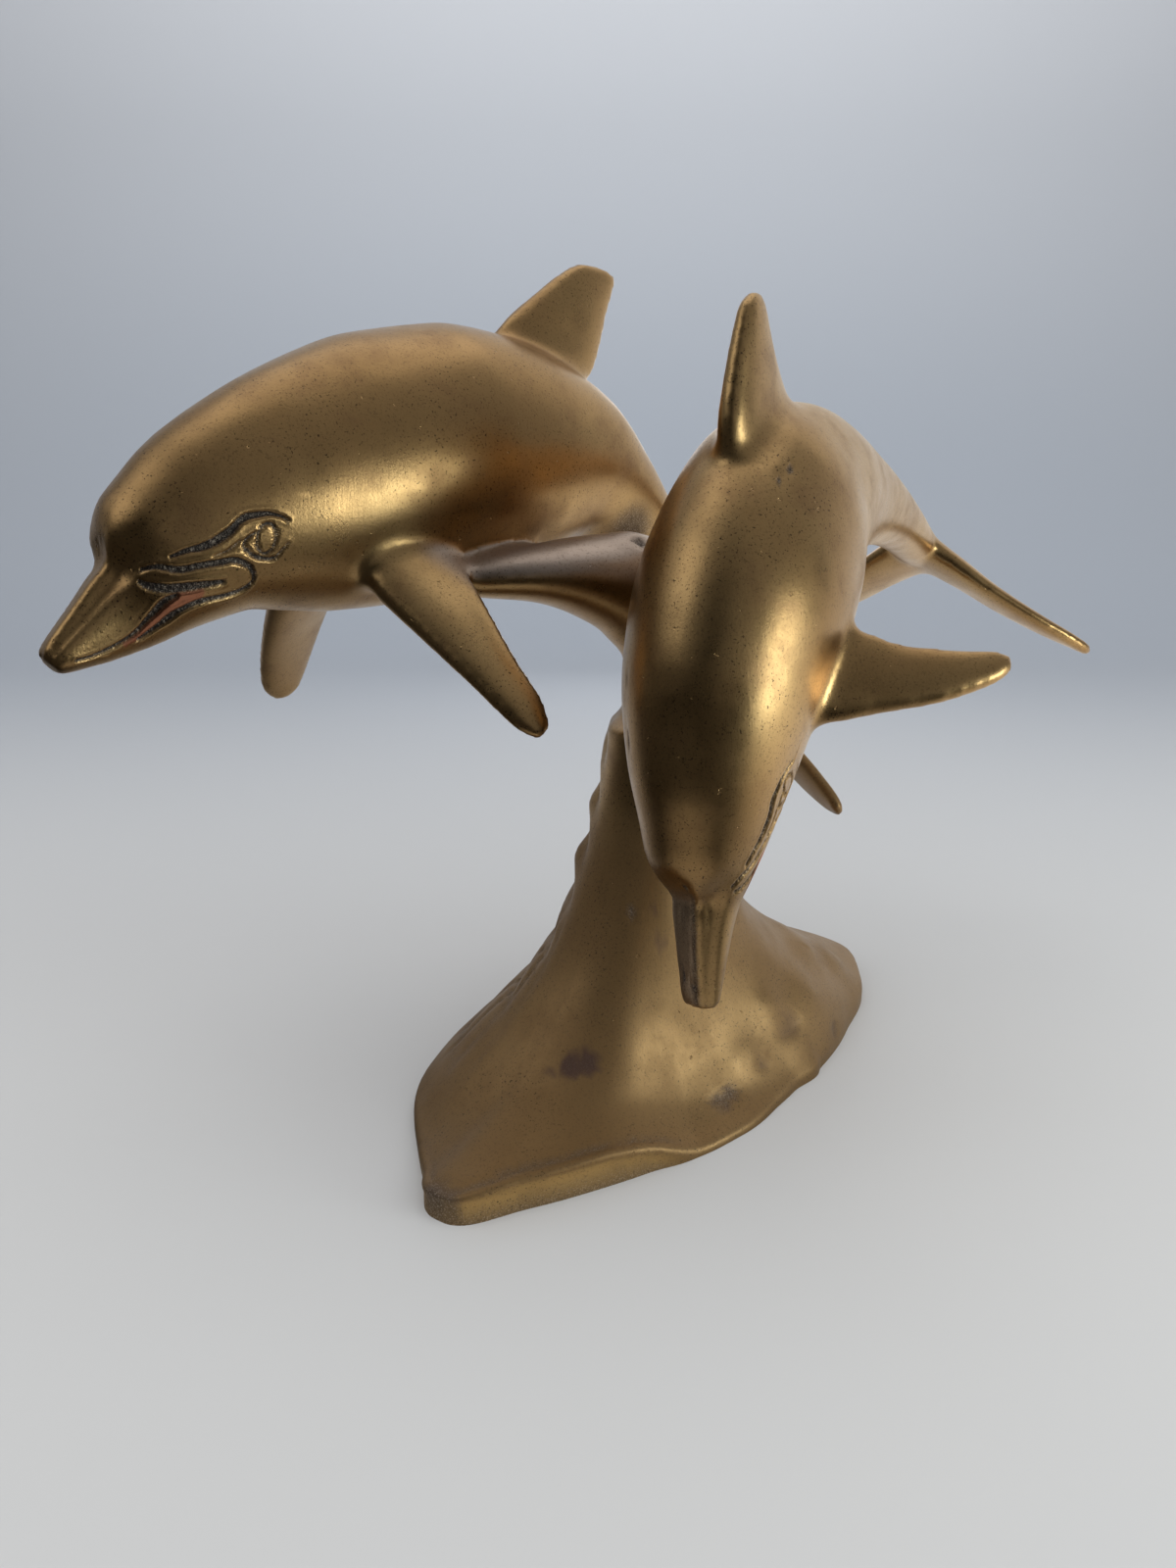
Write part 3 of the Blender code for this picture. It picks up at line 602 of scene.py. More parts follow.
def add_crest(bm, stations):
    rows = smooth_rows([[*centre, thick, broad] for centre, thick, broad in stations], 8)
    breadth_way = Vector(BREADTH_WAY)
    rings = []
    for i, row in enumerate(rows):
        centre = Vector(row[:3])
        before, after = rows[max(i - 1, 0)], rows[min(i + 1, len(rows) - 1)]
        tangent = (Vector(after[:3]) - Vector(before[:3])).normalized()
        side = (breadth_way - tangent * breadth_way.dot(tangent)).normalized()
        lift = tangent.cross(side)
        ring = []
        for k in range(CREST_POINTS):
            turn = 2 * pi * k / CREST_POINTS
            ring.append(centre + side * row[4] * sin(turn) + lift * row[3] * cos(turn))
        rings.append(ring)
    add_loft(bm, rings)


def shown(data, name):
    obj = bpy.data.objects.new(name, data)
    bpy.context.scene.collection.objects.link(obj)
    return obj


def smooth(obj, passes, group=""):
    modifier = obj.modifiers.new("smooth", "SMOOTH")
    modifier.factor = 0.5
    modifier.iterations = passes
    modifier.vertex_group = group


def finished(obj):
    """The object's mesh with its modifiers applied; the object goes."""
    mesh = bpy.data.meshes.new_from_object(obj.evaluated_get(bpy.context.evaluated_depsgraph_get()))
    bpy.data.objects.remove(obj)
    return mesh


def creases(mesh):
    """How much each vertex belongs to a tight inside corner, where the casting has a broad fillet."""
    count = len(mesh.vertices)
    points = np.zeros(count * 3)
    normals = np.zeros(count * 3)
    edges = np.zeros(len(mesh.edges) * 2, dtype=np.int64)
    mesh.vertices.foreach_get("co", points)
    mesh.vertices.foreach_get("normal", normals)
    mesh.edges.foreach_get("vertices", edges)
    points, normals = points.reshape(-1, 3) / MM, normals.reshape(-1, 3)
    a, b = edges.reshape(-1, 2).T
    both, other = np.concatenate([a, b]), np.concatenate([b, a])
    degree = np.bincount(both, minlength=count)

    def mean(values):
        return np.bincount(both, weights=values[other], minlength=count) / degree

    around = np.stack([mean(points[:, k]) for k in range(3)], axis=1)
    hollow = np.sum((around - points) * normals, axis=1)
    for _ in range(3):
        hollow = mean(hollow)
    weight = (hollow > CREASE).astype(float)
    for _ in range(FILLET_REACH):
        grown = weight.copy()
        np.maximum.at(grown, both, weight[other])
        weight = grown
    for _ in range(FILLET_REACH):
        weight = mean(weight)
    low, high = FOAM_HEIGHTS
    foamy = (points[:, 0] < FOAM_SIDE) & (points[:, 2] > low) & (points[:, 2] < high)
    return np.where(foamy, 0.0, weight)


def fused(bm, name):
    """One skin over all lofts, with fillets where they meet, as a new bmesh."""
    bmesh.ops.recalc_face_normals(bm, faces=bm.faces)
    mesh = bpy.data.meshes.new(name)
    bm.to_mesh(mesh)
    bm.free()
    obj = shown(mesh, name)
    remesh = obj.modifiers.new("fuse", "REMESH")
    remesh.mode = "VOXEL"
    remesh.voxel_size = VOXEL * MM
    smooth(obj, SMOOTH_PASSES)
    mesh = finished(obj)
    obj = shown(mesh, name)
    group = obj.vertex_groups.new(name="creases")
    weights = creases(mesh)
    for index in np.flatnonzero(weights > 0.02):
        group.add([int(index)], float(weights[index]), "REPLACE")
    smooth(obj, FILLET_PASSES, "creases")
    thin = obj.modifiers.new("facets", "DECIMATE")
    thin.ratio = FACETS_KEPT
    skin = bmesh.new()
    skin.from_mesh(finished(obj))
    return skin


def cut_floor(bm):
    """Cuts the skin off at the surface it stands on and closes it with one flat face."""
    bmesh.ops.bisect_plane(bm, geom=bm.verts[:] + bm.edges[:] + bm.faces[:], plane_co=(0.0, 0.0, 0.0),
                           plane_no=(0.0, 0.0, 1.0), clear_inner=True)
    border = [e for e in bm.edges if e.is_boundary]
    bmesh.ops.holes_fill(bm, edges=border, sides=0)
    for edge in border:
        edge.smooth = False


def ramp(low, high, value):
    """Smooth step from 0 at low to 1 at high."""
    t = np.clip((value - low) / (high - low), 0.0, 1.0)
    return t * t * (3.0 - 2.0 * t)


def between(rise, fall, value):
    """Smooth step up over one range of a value and down again over another."""
    return ramp(*rise, value) * (1.0 - ramp(*fall, value))


class Skin:
    """Finds distance from the beak tip and turn down from the back for points on a dolphin's body."""

    def __init__(self, spine, sections, reach):
        self.distance = np.arange(0.0, reach, 0.25)
        frames = [spine.frame(d) for d in self.distance]
        self.point = np.array([f[0] for f in frames])
        self.back = np.array([f[1] for f in frames])
        self.up = np.array([f[2] for f in frames])
        self.left = np.array(spine.left)
        self.size = np.array([look_up(sections, d) for d in self.distance])

    def chart(self, points):
        """Distance and signed turn in degrees of each point, and its place as a share of the radius."""
        rows = []
        batch = 8000
        for start in range(0, len(points), batch):
            part = points[start:start + batch]
            plane = part @ self.back.T - np.sum(self.point * self.back, axis=1)
            far = np.sum(part ** 2, axis=1)[:, None] - 2 * part @ self.point.T
            far = far + np.sum(self.point ** 2, axis=1)
            best = np.argmin(np.abs(plane) + np.where(far > 50.0 ** 2, 1e3, 0.0), axis=1)
            offset = part - self.point[best]
            tall = np.sum(offset * self.up[best], axis=1)
            aside = offset @ self.left
            above, below, half = self.size[best].T
            tall = tall / np.where(tall > 0, above, below)
            aside = aside / half
            missed = np.abs(plane[np.arange(len(part)), best]) > 0.6
            share = np.where(missed, 9.0, np.hypot(tall, aside))
            rows.append(np.stack([self.distance[best], np.degrees(np.arctan2(aside, tall)), share]))
        return np.concatenate(rows, axis=1)

    def girth(self, distance):
        """Mean radius at a distance."""
        return np.interp(distance, self.distance, self.size.mean(axis=1))


def line_gap(u, v, line):
    """How far places on a flat chart are from a line of points, and the line's half width there."""
    gap = np.full(len(u), 1e9)
    width = np.zeros(len(u))
    for (au, av, aw), (bu, bv, bw) in zip(line, line[1:]):
        du, dv = bu - au, bv - av
        t = np.clip(((u - au) * du + (v - av) * dv) / max(du * du + dv * dv, 1e-9), 0.0, 1.0)
        here = np.hypot(u - au - t * du, v - av - t * dv)
        near = here < gap
        gap = np.where(near, here, gap)
        width = np.where(near, aw + (bw - aw) * t, width)
    return gap, width


def in_cheek(distance, turn, share, side, shift):
    near, far, high, low = CHEEK
    return ((distance > near) & (distance < far + shift[0]) & (side * turn > high + shift[1])
            & (side * turn < low + shift[1]) & (np.abs(share - 1.0) < ON_CHEEK))


def refine(bm, skin, side, shift, cuts):
    """Cuts the faces of one cheek smaller, so that they can hold the carving."""
    points = np.array([v.co for v in bm.verts]) / MM
    inside = in_cheek(*skin.chart(points), side, shift)
    bm.verts.ensure_lookup_table()
    bm.verts.index_update()
    edges = [e for e in bm.edges if inside[e.verts[0].index] and inside[e.verts[1].index]]
    made = bmesh.ops.subdivide_edges(bm, edges=edges, cuts=cuts, use_grid_fill=True)
    fresh = [v for v in made["geom_inner"] if isinstance(v, bmesh.types.BMVert)]
    for _ in range(3):
        bmesh.ops.smooth_vert(bm, verts=fresh, factor=0.5, use_axis_x=True, use_axis_y=True, use_axis_z=True)


def carve(points, skin, side, shift):
    """Depth of the carving, and how much of a place is cut and how much is the copper lip, on one cheek."""
    distance, turn, share = skin.chart(points)
    chosen = np.flatnonzero(in_cheek(distance, turn, share, side, shift))
    u = distance[chosen]
    v = np.radians(side * turn[chosen]) * skin.girth(u)

    def flat(line):
        rows = smooth_rows(line, 4)
        return [(d + shift[0], radians(a + shift[1]) * skin.girth(d + shift[0]), w) for d, a, w in rows]

    centre = flat((EYE_RING_CENTRE + (0.0,), EYE_RING_CENTRE + (0.0,)))[0]
    ring_gap = np.abs(np.hypot(u - centre[0], v - centre[1]) - EYE_RING_RADIUS)
    cut = EYE_RING_DEPTH * (1.0 - ramp(EYE_RING_HALF_WIDTH - 0.2, EYE_RING_HALF_WIDTH + 0.3, ring_gap))
    burr = np.zeros(len(u))
    tall, beside, wide = BURR
    for depth, line in CARVING:
        gap, width = line_gap(u, v, flat(line))
        cut = np.maximum(cut, depth * (1.0 - ramp(width - 0.25, width + 0.3, gap)))
        burr = np.maximum(burr, tall * np.exp(-((gap - width - beside) / wide) ** 2))
    gap, width = line_gap(u, v, flat(COPPER_LIP))
    depths, dark, copper = (np.zeros(len(points)) for _ in range(3))
    rough = np.array([noise.noise(Vector(p) * 1.4) for p in points[chosen]])
    depths[chosen] = cut * (1.0 + 0.35 * rough) - burr * (cut < 0.1)
    dark[chosen] = ramp(0.15, 0.6, cut)
    copper[chosen] = (1.0 - ramp(width, width + 0.7, gap)) * (1.0 - ramp(0.15, 0.6, cut))
    return depths, dark, copper


def beak_edges(points, skin, roll, root):
    """How deep the beak is cut: a flat top, hollow sides, a crease behind it and then the swelling brow."""
    distance, turn, share = skin.chart(points)
    near = (distance < 2.0 * root) & (np.abs(share - 1.0) < ON_BODY)
    beak = 1.0 - ramp(root, 1.5 * root, distance)
    aside = np.abs(turned(turn, roll))
    flat = np.maximum(0.0, np.cos(np.radians(aside)) - 0.86) * skin.girth(distance) * 0.8
    hollow = np.exp(-((aside - 56.0) / 17.0) ** 2) * 0.13 * skin.girth(distance)
    over = 1.0 - ramp(45.0, 80.0, aside)
    crease = np.exp(-((distance - root) / 3.0) ** 2) * over
    swell = 1.1 * np.exp(-((distance - 1.36 * root) / 6.5) ** 2) * over
    return np.where(near, beak * (flat + hollow) + crease - swell, 0.0)


def water_marks(points):
    """Grooves of the foam up the wave's left edge: how deep and how dark they are."""
    aside = turned(bearings(points), FOAM_BEARING)
    height = points[:, 2]
    edge = np.exp(-(aside / 20.0) ** 2) * between(*GROOVED, height)
    climb = height - FOAM_START + FOAM_LEAN * aside
    valley = np.clip(np.cos(2 * pi * climb / FOAM_PITCH), 0.0, 1.0) ** 6
    low = np.exp(-((aside - 12.0) / 16.0) ** 2) * between(*LINED, height)
    lines = np.clip(np.sin(2 * pi * (aside + WATER_LEAN * height) / WATER_LINES), 0.0, 1.0) ** 3
    grooves, streaks = edge * valley, low * lines
    return GROOVE_DEPTH * (grooves + streaks), 0.7 * np.maximum(grooves, 0.7 * streaks)


def detail(bm, left, right):
    """Pushes the carving, pits, dents and ridges into the skin and records their colours as attributes, with
    painted shade and a painted sheen among them.
    """
    bm.normal_update()
    points = np.array([v.co for v in bm.verts]) / MM
    normals = np.array([v.normal for v in bm.verts])
    x, y, z = points.T
    push, dark, copper, brown = (np.zeros(len(points)) for _ in range(4))
    for skin, shift in ((left, LEFT_FACE_SHIFT), (right, RIGHT_FACE_SHIFT)):
        for side in (1, -1):
            depths, cut, lip = carve(points, skin, side, shift)
            push -= depths
            dark = np.maximum(dark, cut)
            copper = np.maximum(copper, lip)
    push -= beak_edges(points, left, *LEFT_BEAK)
    push -= beak_edges(points, right, *RIGHT_BEAK)
    grooved, shade = water_marks(points)
    push -= grooved
    dark = np.maximum(dark, shade)

    distance, turn, share = right.chart(points)
    arc = np.radians(turn) * right.girth(distance)
    on_beak = (np.abs(share - 1.0) < ON_BODY) * (1.0 - ramp(*BEAK_END, distance))
    rough_plane = on_beak * between(*ROUGH_PLANE, turn)
    line_arc = radians(BEAK_LINE_TURN) * right.girth(distance)
    line = on_beak * np.exp(-((arc - line_arc) / BEAK_LINE_HALF_WIDTH) ** 2)
    push -= BEAK_LINE_DEPTH * line
    dark = np.maximum(dark, np.maximum(0.2 * rough_plane, 0.8 * line))
    patina = np.where(share > OFF_BODY, 1.0 - ramp(*TONED_BELOW, z), 0.0)
    # painted sheen: the crest's upward face is painted greyer as a mirror image of the pale room; the right
    # beak's rough plane is greyer too
    tongue = between(*SHEEN_X, x) * ramp(*SHEEN_Y, y) * between(*SHEEN_Z, z)
    grey_and_sheen = np.where(y < SHEEN_UP_TO_Y, tongue, 0.0) * ramp(-0.1, 0.4, normals[:, 2])
    grey_and_sheen = np.maximum(grey_and_sheen, 0.5 * rough_plane)
    for (at, way), along, around, depth in BEAK_PITS:
        gap = np.hypot((distance - at) / along, (arc - radians(way) * right.girth(at)) / around)
        pit = np.where(np.abs(share - 1.0) < ON_PIT, np.exp(-gap ** 2), 0.0)
        push -= depth * pit
        dark = np.maximum(dark, ramp(0.3, 0.8, pit))
    for place, radius, depth, darkness, brownness in SPOTS:
        gap = np.linalg.norm(points - np.array(place), axis=1) / radius
        pit = np.exp(-gap ** 4)
        push -= depth * pit
        dark = np.maximum(dark, darkness * pit)
        brown = np.maximum(brown, brownness * (1.0 - ramp(0.85, 1.15, gap)))
    for place, radius, height in SWELLS:
        gap = np.linalg.norm(points - np.array(place), axis=1) / radius
        push += height * np.exp(-gap ** 2)

    rim_push, rim_dark, bare = rim(points)
    push += rim_push
    dark = np.maximum(dark, rim_dark)
    moved = (points + normals * (push * ramp(*RELIEF_FROM, z))[:, None]) * MM
    for vert, co in zip(bm.verts, moved):
        vert.co = co
    return dict(zip(MARKS, (dark, copper, brown, patina, bare, grey_and_sheen)))


def rim(points):
    """The foot's raised edge: its relief, its darkness with a painted shadow line along the table, and the
    bare filed face below it.
    """
    x, y, z = points.T
    edge = []
    for degrees in RIM_BEARINGS:
        reach, height = foot_edge(degrees)
        edge.append((*foot_place(radians(degrees), reach), height))
    gap, _ = line_gap(x, y, edge)
    height = np.interp(bearings(points) % 360.0, list(RIM_BEARINGS), [e[2] for e in edge])
    top = (z < RIM_BELOW) & (z > height - RIM_BAND)
    strength = ramp(1.5, 8.0, height)
    ridge = np.where(top, np.exp(-(gap - 0.5) ** 2), 0.0) * strength
    groove = np.where(top, np.exp(-((gap - 2.6) / 0.8) ** 2), 0.0) * strength
    face = (1.0 - ramp(1.4, 2.6, gap)) * (1.0 - ramp(-RIM_BAND, -0.3, z - height)) * strength
    # painted shadow: the bare face darkens where it meets the table
    table_shadow = face * (1.0 - ramp(0.3, 1.8, z))
    return RIDGE_HEIGHT * ridge - RIM_GROOVE_DEPTH * groove, np.maximum(0.4 * groove, 0.6 * table_shadow), face


def socket(tree, into, name, kind, default=None):
    made = tree.interface.new_socket(name, in_out=into, socket_type=kind)
    if default is not None:
        made.default_value = default
    return made


def add(tree, kind, inputs=None, **settings):
    """A node with its inputs set to values or linked to sockets."""
    made = tree.nodes.new(kind)
    for name, value in settings.items():
        setattr(made, name, value)
    for key, value in (inputs or {}).items():
        if isinstance(value, bpy.types.NodeSocket):
            tree.links.new(value, made.inputs[key])
        else:
            made.inputs[key].default_value = value
    return made


def math(tree, operation, a, b=0.0):
    return add(tree, "ShaderNodeMath", {0: a, 1: b}, operation=operation).outputs[0]


def mixed(tree, factor, a, b):
    """Colour between a and b."""
    return add(tree, "ShaderNodeMix", {0: factor, 6: a, 7: b}, data_type="RGBA").outputs[2]


def either(tree, switch, off, on):
    """The value off where a switch is 0, and the value on where it is 1."""
    return add(tree, "ShaderNodeMix", {0: switch, 2: off, 3: on}, data_type="FLOAT").outputs[0]


def spread(tree, value, low, high, start=0.0, end=1.0):
    """A value's smooth step from low to high."""
    return add(tree, "ShaderNodeMapRange", {0: value, 1: low, 2: high, 3: start, 4: end},
               interpolation_type="SMOOTHSTEP").outputs[0]


def noise_at(tree, vector, scale, detail, rough=0.5):
    inputs = {"Vector": vector, "Scale": scale, "Detail": detail, "Roughness": rough}
    return add(tree, "ShaderNodeTexNoise", inputs).outputs[0]


def stretched(tree, vector, scale, turn):
    return add(tree, "ShaderNodeMapping", {"Vector": vector, "Scale": scale, "Rotation": turn}).outputs[0]


def brass_tone():
    """Colour, roughness and metal of toned brass: olive to golden, brown in patches, dark in its carving and
    in painted shade, grey in a painted sheen.
    """
    tree = bpy.data.node_groups.new("brass_tone", "ShaderNodeTree")
    socket(tree, "INPUT", "Vector", "NodeSocketVector")
    for mark in MARKS:
        socket(tree, "INPUT", mark.capitalize(), "NodeSocketFloat", 0.0)
    socket(tree, "OUTPUT", "Color", "NodeSocketColor")
    socket(tree, "OUTPUT", "Roughness", "NodeSocketFloat")
    socket(tree, "OUTPUT", "Metal", "NodeSocketFloat")
    given = tree.nodes.new("NodeGroupInput").outputs
    where = given["Vector"]

    def toned(tone, mark, share, colour):
        return mixed(tree, math(tree, "MULTIPLY", mark, share), tone, colour)

    broad = noise_at(tree, where, 22.0, 4.0)
    patches = noise_at(tree, where, 70.0, 6.0, 0.65)
    grain = noise_at(tree, where, 1400.0, 3.0, 0.7)
    flecks = noise_at(tree, where, 2600.0, 2.0)
    pores = noise_at(tree, where, 1700.0, 1.0)
    crowded = noise_at(tree, where, 38.0, 2.0)
    tone = mixed(tree, spread(tree, broad, 0.35, 0.68), (0.38, 0.228, 0.094, 1.0), (0.47, 0.298, 0.128, 1.0))
    tone = mixed(tree, spread(tree, patches, 0.48, 0.75, 0.0, 0.55), tone, (0.26, 0.145, 0.068, 1.0))
    tone = toned(tone, given["Patina"], 0.8, (0.215, 0.125, 0.05, 1.0))
    tone = toned(tone, given["Bare"], 0.85, (0.50, 0.31, 0.11, 1.0))
    # grey: a painted sheen on the crest's upward face, and the greyer rough plane of the right beak
    tone = toned(tone, given["Grey_and_sheen"], 0.8, (0.40, 0.33, 0.29, 1.0))
    tone = mixed(tree, spread(tree, grain, 0.52, 0.74, 0.0, 0.55), tone, (0.12, 0.07, 0.038, 1.0))
    crowding = spread(tree, crowded, 0.38, 0.62, 0.25, 1.0)
    specks = math(tree, "MULTIPLY", spread(tree, pores, 0.64, 0.72), crowding)
    tone = toned(tone, specks, 0.85, (0.04, 0.028, 0.018, 1.0))
    tone = toned(tone, given["Brown"], 0.85, (0.10, 0.055, 0.045, 1.0))
    tone = toned(tone, given["Copper"], 0.8, (0.46, 0.17, 0.10, 1.0))
    # the dark mark's colour: crust in the carving, grooves and pits, and painted shade along the table and
    # under the left dolphin's belly
    crust_and_shade_dark, crust_and_shade_pale = (0.085, 0.07, 0.062, 1.0), (0.36, 0.30, 0.24, 1.0)
    crust_and_shade = mixed(tree, spread(tree, flecks, 0.50, 0.66), crust_and_shade_dark, crust_and_shade_pale)
    tone = mixed(tree, given["Dark"], tone, crust_and_shade)

    rough = spread(tree, patches, 0.3, 0.75, 0.27, 0.40)
    rough = math(tree, "ADD", rough, math(tree, "MULTIPLY", given["Dark"], 0.3))
    for mark, more in (("Brown", 0.1), ("Patina", 0.14), ("Grey_and_sheen", 0.1)):
        rough = math(tree, "ADD", rough, math(tree, "MULTIPLY", given[mark], more))
    metal = math(tree, "SUBTRACT", 1.0, math(tree, "MULTIPLY", given["Patina"], 0.2))
    out = tree.nodes.new("NodeGroupOutput")
    tree.links.new(tone, out.inputs["Color"])
    tree.links.new(rough, out.inputs["Roughness"])
    tree.links.new(metal, out.inputs["Metal"])
    return tree


def cast_relief():
    """Height of hand-worked cast metal in millimetres: soft waves, file marks, grain and pinholes."""
    tree = bpy.data.node_groups.new("cast_relief", "ShaderNodeTree")
    socket(tree, "INPUT", "Vector", "NodeSocketVector")
    socket(tree, "INPUT", "Dark", "NodeSocketFloat", 0.0)
    socket(tree, "OUTPUT", "Height", "NodeSocketFloat")
    given = tree.nodes.new("NodeGroupInput").outputs
    where = given["Vector"]

    waves = noise_at(tree, where, 45.0, 1.0)
    files = noise_at(tree, stretched(tree, where, (1.0, 1.0, 0.12), (0.2, 0.35, 0.0)), 1500.0, 2.0)
    grain = noise_at(tree, where, 1900.0, 2.0, 0.6)
    holes = spread(tree, noise_at(tree, where, 420.0, 2.0), 0.72, 0.78)
    height = math(tree, "MULTIPLY", waves, 0.28)
    height = math(tree, "ADD", height, math(tree, "MULTIPLY", files, 0.016))
    height = math(tree, "ADD", height, math(tree, "MULTIPLY", grain, 0.024))
    height = math(tree, "SUBTRACT", height, math(tree, "MULTIPLY", holes, 0.14))
    crust_and_shade = math(tree, "MULTIPLY", noise_at(tree, where, 1300.0, 3.0), 0.30)
    height = math(tree, "ADD", height, math(tree, "MULTIPLY", crust_and_shade, given["Dark"]))
    out = tree.nodes.new("NodeGroupOutput")
    tree.links.new(height, out.inputs["Height"])
    return tree


def principled(name):
    material = bpy.data.materials.new(name)
    material.use_nodes = True
    return material, material.node_tree, material.node_tree.nodes["Principled BSDF"]


def brass(tone_group, relief_group):
    material, tree, shader = principled("toned_brass")
    where = add(tree, "ShaderNodeTexCoord").outputs["Object"]
    tone = add(tree, "ShaderNodeGroup", node_tree=tone_group)
    relief = add(tree, "ShaderNodeGroup", node_tree=relief_group)
    for group in (tone, relief):
        tree.links.new(where, group.inputs["Vector"])
    for name in MARKS:
        mark = add(tree, "ShaderNodeAttribute", attribute_name=name).outputs["Fac"]
        tree.links.new(mark, tone.inputs[name.capitalize()])
        if name == "dark":
            tree.links.new(mark, relief.inputs["Dark"])
    bump = add(tree, "ShaderNodeBump", {"Height": relief.outputs["Height"], "Distance": MM, "Strength": 1.0})
    tree.links.new(tone.outputs["Color"], shader.inputs["Base Color"])
    tree.links.new(tone.outputs["Roughness"], shader.inputs["Roughness"])
    tree.links.new(bump.outputs["Normal"], shader.inputs["Normal"])
    tree.links.new(tone.outputs["Metal"], shader.inputs["Metallic"])
    return material


def casting():
    """The whole figurine as one smooth skin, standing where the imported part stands."""
    left = Spine(LEFT_PLACE, LEFT_HEADING, LEFT_LIFT, LEFT_SPINE)
    right = Spine(RIGHT_PLACE, RIGHT_HEADING, RIGHT_LIFT, RIGHT_SPINE)
    bm = bmesh.new()
    add_dolphin(bm, left, LEFT_BODY, LEFT_DORSAL, PECTORAL, BROAD_PECTORAL, LEFT_FLUKE)
    add_dolphin(bm, right, RIGHT_BODY, RIGHT_DORSAL, SPREAD_PECTORAL, PECTORAL, RIGHT_FLUKE)
    add_wave(bm)
    add_crest(bm, CREST)
    add_crest(bm, SHOULDER)
    bm = fused(bm, "figurine_lofts")
    cut_floor(bm)
    left_skin = Skin(left, LEFT_BODY, LEFT_CHARTED)
    right_skin = Skin(right, RIGHT_BODY, RIGHT_CHARTED)
    for skin, shift, cuts in ((left_skin, LEFT_FACE_SHIFT, LEFT_CHEEK_CUTS),
                              (right_skin, RIGHT_FACE_SHIFT, RIGHT_CHEEK_CUTS)):
        refine(bm, skin, 1, shift, cuts[0])
        refine(bm, skin, -1, shift, cuts[1])
    marks = detail(bm, left_skin, right_skin)

    lo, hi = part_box("dolphin_figurine")
    corners = np.array([v.co for v in bm.verts])
    middle = (corners.min(axis=0) + corners.max(axis=0)) / 2
    way = ((lo.x + hi.x) / 2 - middle[0], (lo.y + hi.y) / 2 - middle[1], 0.0)
    bmesh.ops.translate(bm, verts=bm.verts, vec=way)
    for face in bm.faces:
        face.smooth = True
    mesh = bpy.data.meshes.new("figurine_casting")
    bm.to_mesh(mesh)
    bm.free()
    for name, values in marks.items():
        mesh.attributes.new(name, "FLOAT", "POINT").data.foreach_set("value", values.astype(np.float32))
    return shown(mesh, "figurine_casting")


def paper_sweep(material):
    """The pale paper that the figurine stands on: flat, then curving up into a wall behind it."""
    front, flat_end, bend, top, half_width = -3.0, 0.62, 0.55, 3.0, 3.0
    profile = [(front, 0.0), (flat_end, 0.0)]
    steps = 24
    for k in range(1, steps + 1):
        turn = 0.5 * pi * k / steps
        profile.append((flat_end + bend * sin(turn), bend - bend * cos(turn)))
    profile.append((flat_end + bend, top))
    bm = bmesh.new()
    grid = bmesh.ops.create_grid(bm, x_segments=1, y_segments=len(profile) - 1, size=half_width)["verts"]
    for k, vert in enumerate(grid):
        vert.co.y, vert.co.z = profile[k // 2]
    mesh = bpy.data.meshes.new("paper_sweep")
    bm.to_mesh(mesh)
    bm.free()
    mesh.shade_smooth()
    mesh.materials.append(material)
    obj = shown(mesh, "paper_sweep")


def paper():
    """Pale paper with painted shading: darker and cooler towards the back and sides, lighter up the wall; in
    mirror images it ends in the shade in front of the figurine.
    """
    material, tree, shader = principled("pale_paper")
    where = add(tree, "ShaderNodeTexCoord").outputs["Object"]
    place = add(tree, "ShaderNodeSeparateXYZ", {0: where}).outputs
    # painted shading: darker and cooler towards the back, lighter high up the wall, darker far out at the
    # sides
    near = (0.60, 0.588, 0.57, 1.0)
    far = (0.375, 0.40, 0.44, 1.0)
    high = (0.74, 0.745, 0.765, 1.0)
    side = (0.32, 0.325, 0.34, 1.0)
    tone = mixed(tree, spread(tree, place["Y"], -0.1, 0.8), near, far)
    tone = mixed(tree, spread(tree, place["Z"], 0.10, 0.85), tone, high)
    beside = math(tree, "ABSOLUTE", place["X"])
    beside = math(tree, "MULTIPLY", spread(tree, beside, 0.05, 1.6), spread(tree, place["Y"], 0.2, 0.9))
    tone = mixed(tree, beside, tone, side)
    # in mirror images the paper carries painted light at the right and a painted pool of light near the foot,
    # and painted shade at the left front
    rightward = math(tree, "MULTIPLY", place["X"], 0.45)
    across = math(tree, "ADD", math(tree, "MULTIPLY", place["Y"], 0.9), rightward)
    painted_light = mixed(tree, spread(tree, place["X"], 0.06, 0.24), tone, (0.95, 0.92, 0.86, 1.0))
    by_foot = {0: where, 1: (-0.03, -0.15, 0.0)}
    off = add(tree, "ShaderNodeVectorMath", by_foot, operation="DISTANCE").outputs["Value"]
    painted_pool = spread(tree, off, 0.12, 0.04, 0.0, 0.75)
    bright = math(tree, "MAXIMUM", spread(tree, across, -0.17, 0.08), painted_pool)
    shade = mixed(tree, bright, (0.015, 0.012, 0.01, 1.0), painted_light)
    seen = add(tree, "ShaderNodeLightPath").outputs["Is Glossy Ray"]
    tree.links.new(mixed(tree, seen, tone, shade), shader.inputs["Base Color"])
    shader.inputs["Roughness"].default_value = 0.8
    shader.inputs["Specular IOR Level"].default_value = 0.2
    return material


def softbox(name, place, target, width, height, watts, colour, mirrored=True):
    """A soft light that the camera doesn't see, and that shows in the metal only if it is mirrored."""
    light = bpy.data.lights.new(name, "AREA")
    light.shape = "RECTANGLE"
    light.size = width
    light.size_y = height
    light.energy = watts
    light.color = colour
    obj = shown(light, name)
    obj.location = place
    obj.rotation_euler = (Vector(target) - Vector(place)).to_track_quat("-Z", "Y").to_euler()
    obj.visible_camera = False
    obj.visible_glossy = mirrored


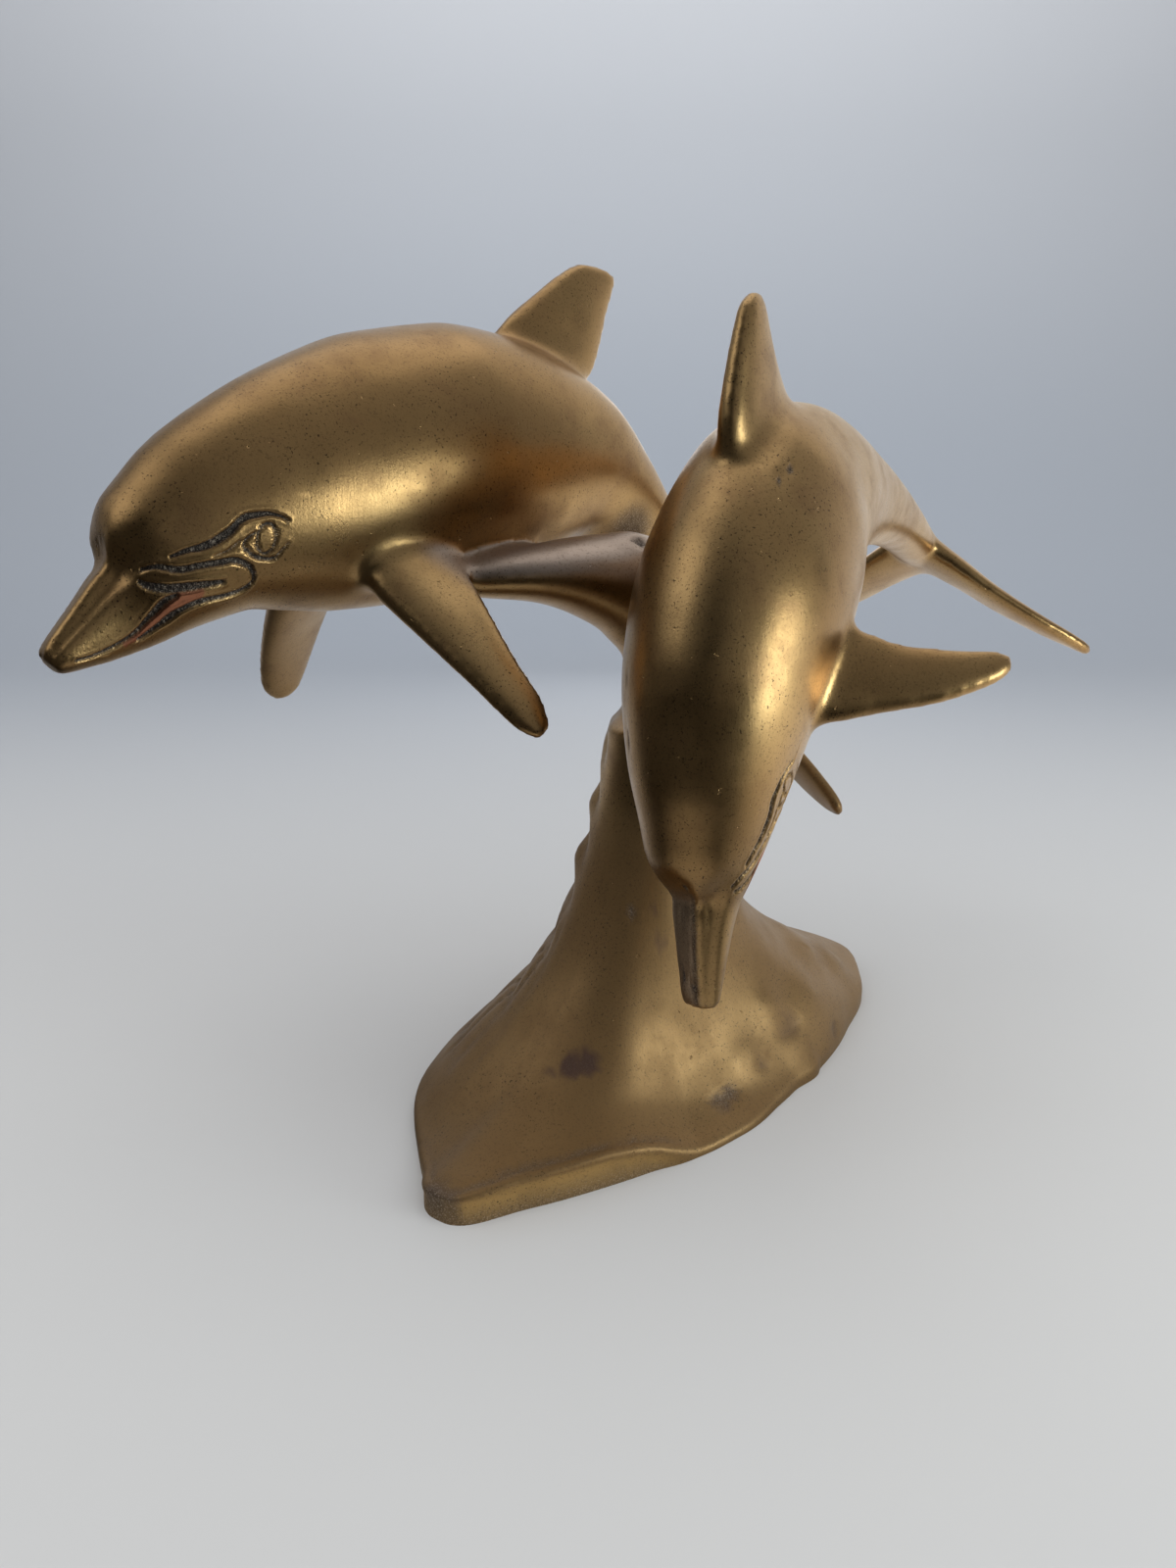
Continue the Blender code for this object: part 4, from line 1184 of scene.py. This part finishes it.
def room_light():
    """Pale surroundings: even for what is lit, and in mirror images darkest in front."""
    world = bpy.data.worlds.new("room")
    world.use_nodes = True
    bpy.context.scene.world = world
    tree = world.node_tree
    tree.nodes.clear()
    sky = add(tree, "ShaderNodeTexCoord").outputs["Generated"]
    way = add(tree, "ShaderNodeSeparateXYZ", {0: sky}).outputs
    path = add(tree, "ShaderNodeLightPath").outputs
    behind = spread(tree, way["Y"], -0.5, 0.9)
    behind = math(tree, "MULTIPLY", behind, spread(tree, way["X"], 0.8, 0.1, 0.4, 1.0))
    above = spread(tree, way["Z"], 0.40, 0.98)
    above = math(tree, "MULTIPLY", above, spread(tree, way["X"], 0.5, -0.3, 0.4, 1.0))
    above = math(tree, "MULTIPLY", above, spread(tree, way["Y"], -0.85, -0.2, 0.35, 1.0))
    leftward = math(tree, "MULTIPLY", spread(tree, way["X"], -0.1, -0.8), spread(tree, way["Z"], 0.15, 0.6))
    rightward = spread(tree, way["X"], 0.0, 0.6)
    shine = LEAST_SHINE
    for part, bright in ((behind, 0.38), (above, 0.28), (leftward, 0.30), (rightward, 0.20)):
        shine = math(tree, "ADD", shine, math(tree, "MULTIPLY", part, bright))
    strength = either(tree, path["Is Glossy Ray"], LIT, shine)
    strength = either(tree, path["Is Camera Ray"], strength, SEEN)
    background = add(tree, "ShaderNodeBackground", {"Color": (0.93, 0.96, 1.0, 1.0), "Strength": strength})
    tree.links.new(background.outputs[0], add(tree, "ShaderNodeOutputWorld").inputs["Surface"])


def camera():
    """The photograph's camera."""
    data = bpy.data.cameras.new("photo_camera")
    data.sensor_fit = "VERTICAL"
    data.sensor_width, data.sensor_height = SENSOR
    data.lens = LENS
    data.clip_start = 0.01
    obj = shown(data, "photo_camera")
    obj.location = CAMERA_PLACE
    obj.rotation_euler = (radians(90.0 - CAMERA_DOWN), 0.0, 0.0)
    bpy.context.scene.camera = obj


figurine = casting()
figurine.data.materials.append(brass(brass_tone(), cast_relief()))
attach(figurine, "root")
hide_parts("dolphin_figurine")

paper_sweep(paper())

softbox("right_lamp", (0.62, -0.32, 0.12), (0.0, 0.0, 0.15), 0.20, 0.22, 1.3, (0.88, 1.0, 1.0))
softbox("left_window", (-0.72, -0.42, 0.80), (0.0, 0.0, 0.13), 0.6, 0.6, 0.7, (0.95, 0.98, 1.0))
softbox("back_window", (0.02, 0.58, 0.24), (0.0, 0.0, 0.15), 0.20, 0.24, 0.2, (0.97, 0.98, 1.0))
softbox("ceiling", (0.0, 0.3, 1.5), (0.0, 0.0, 0.0), 1.4, 1.0, 2.6, (1.0, 1.0, 1.0))
softbox("fill", (0.95, -0.55, 0.75), (0.0, 0.0, 0.0), 0.9, 0.9, 2.4, (1.0, 0.99, 0.97), mirrored=False)
room_light()
camera()

scene = bpy.context.scene
scene.view_settings.view_transform = "Standard"
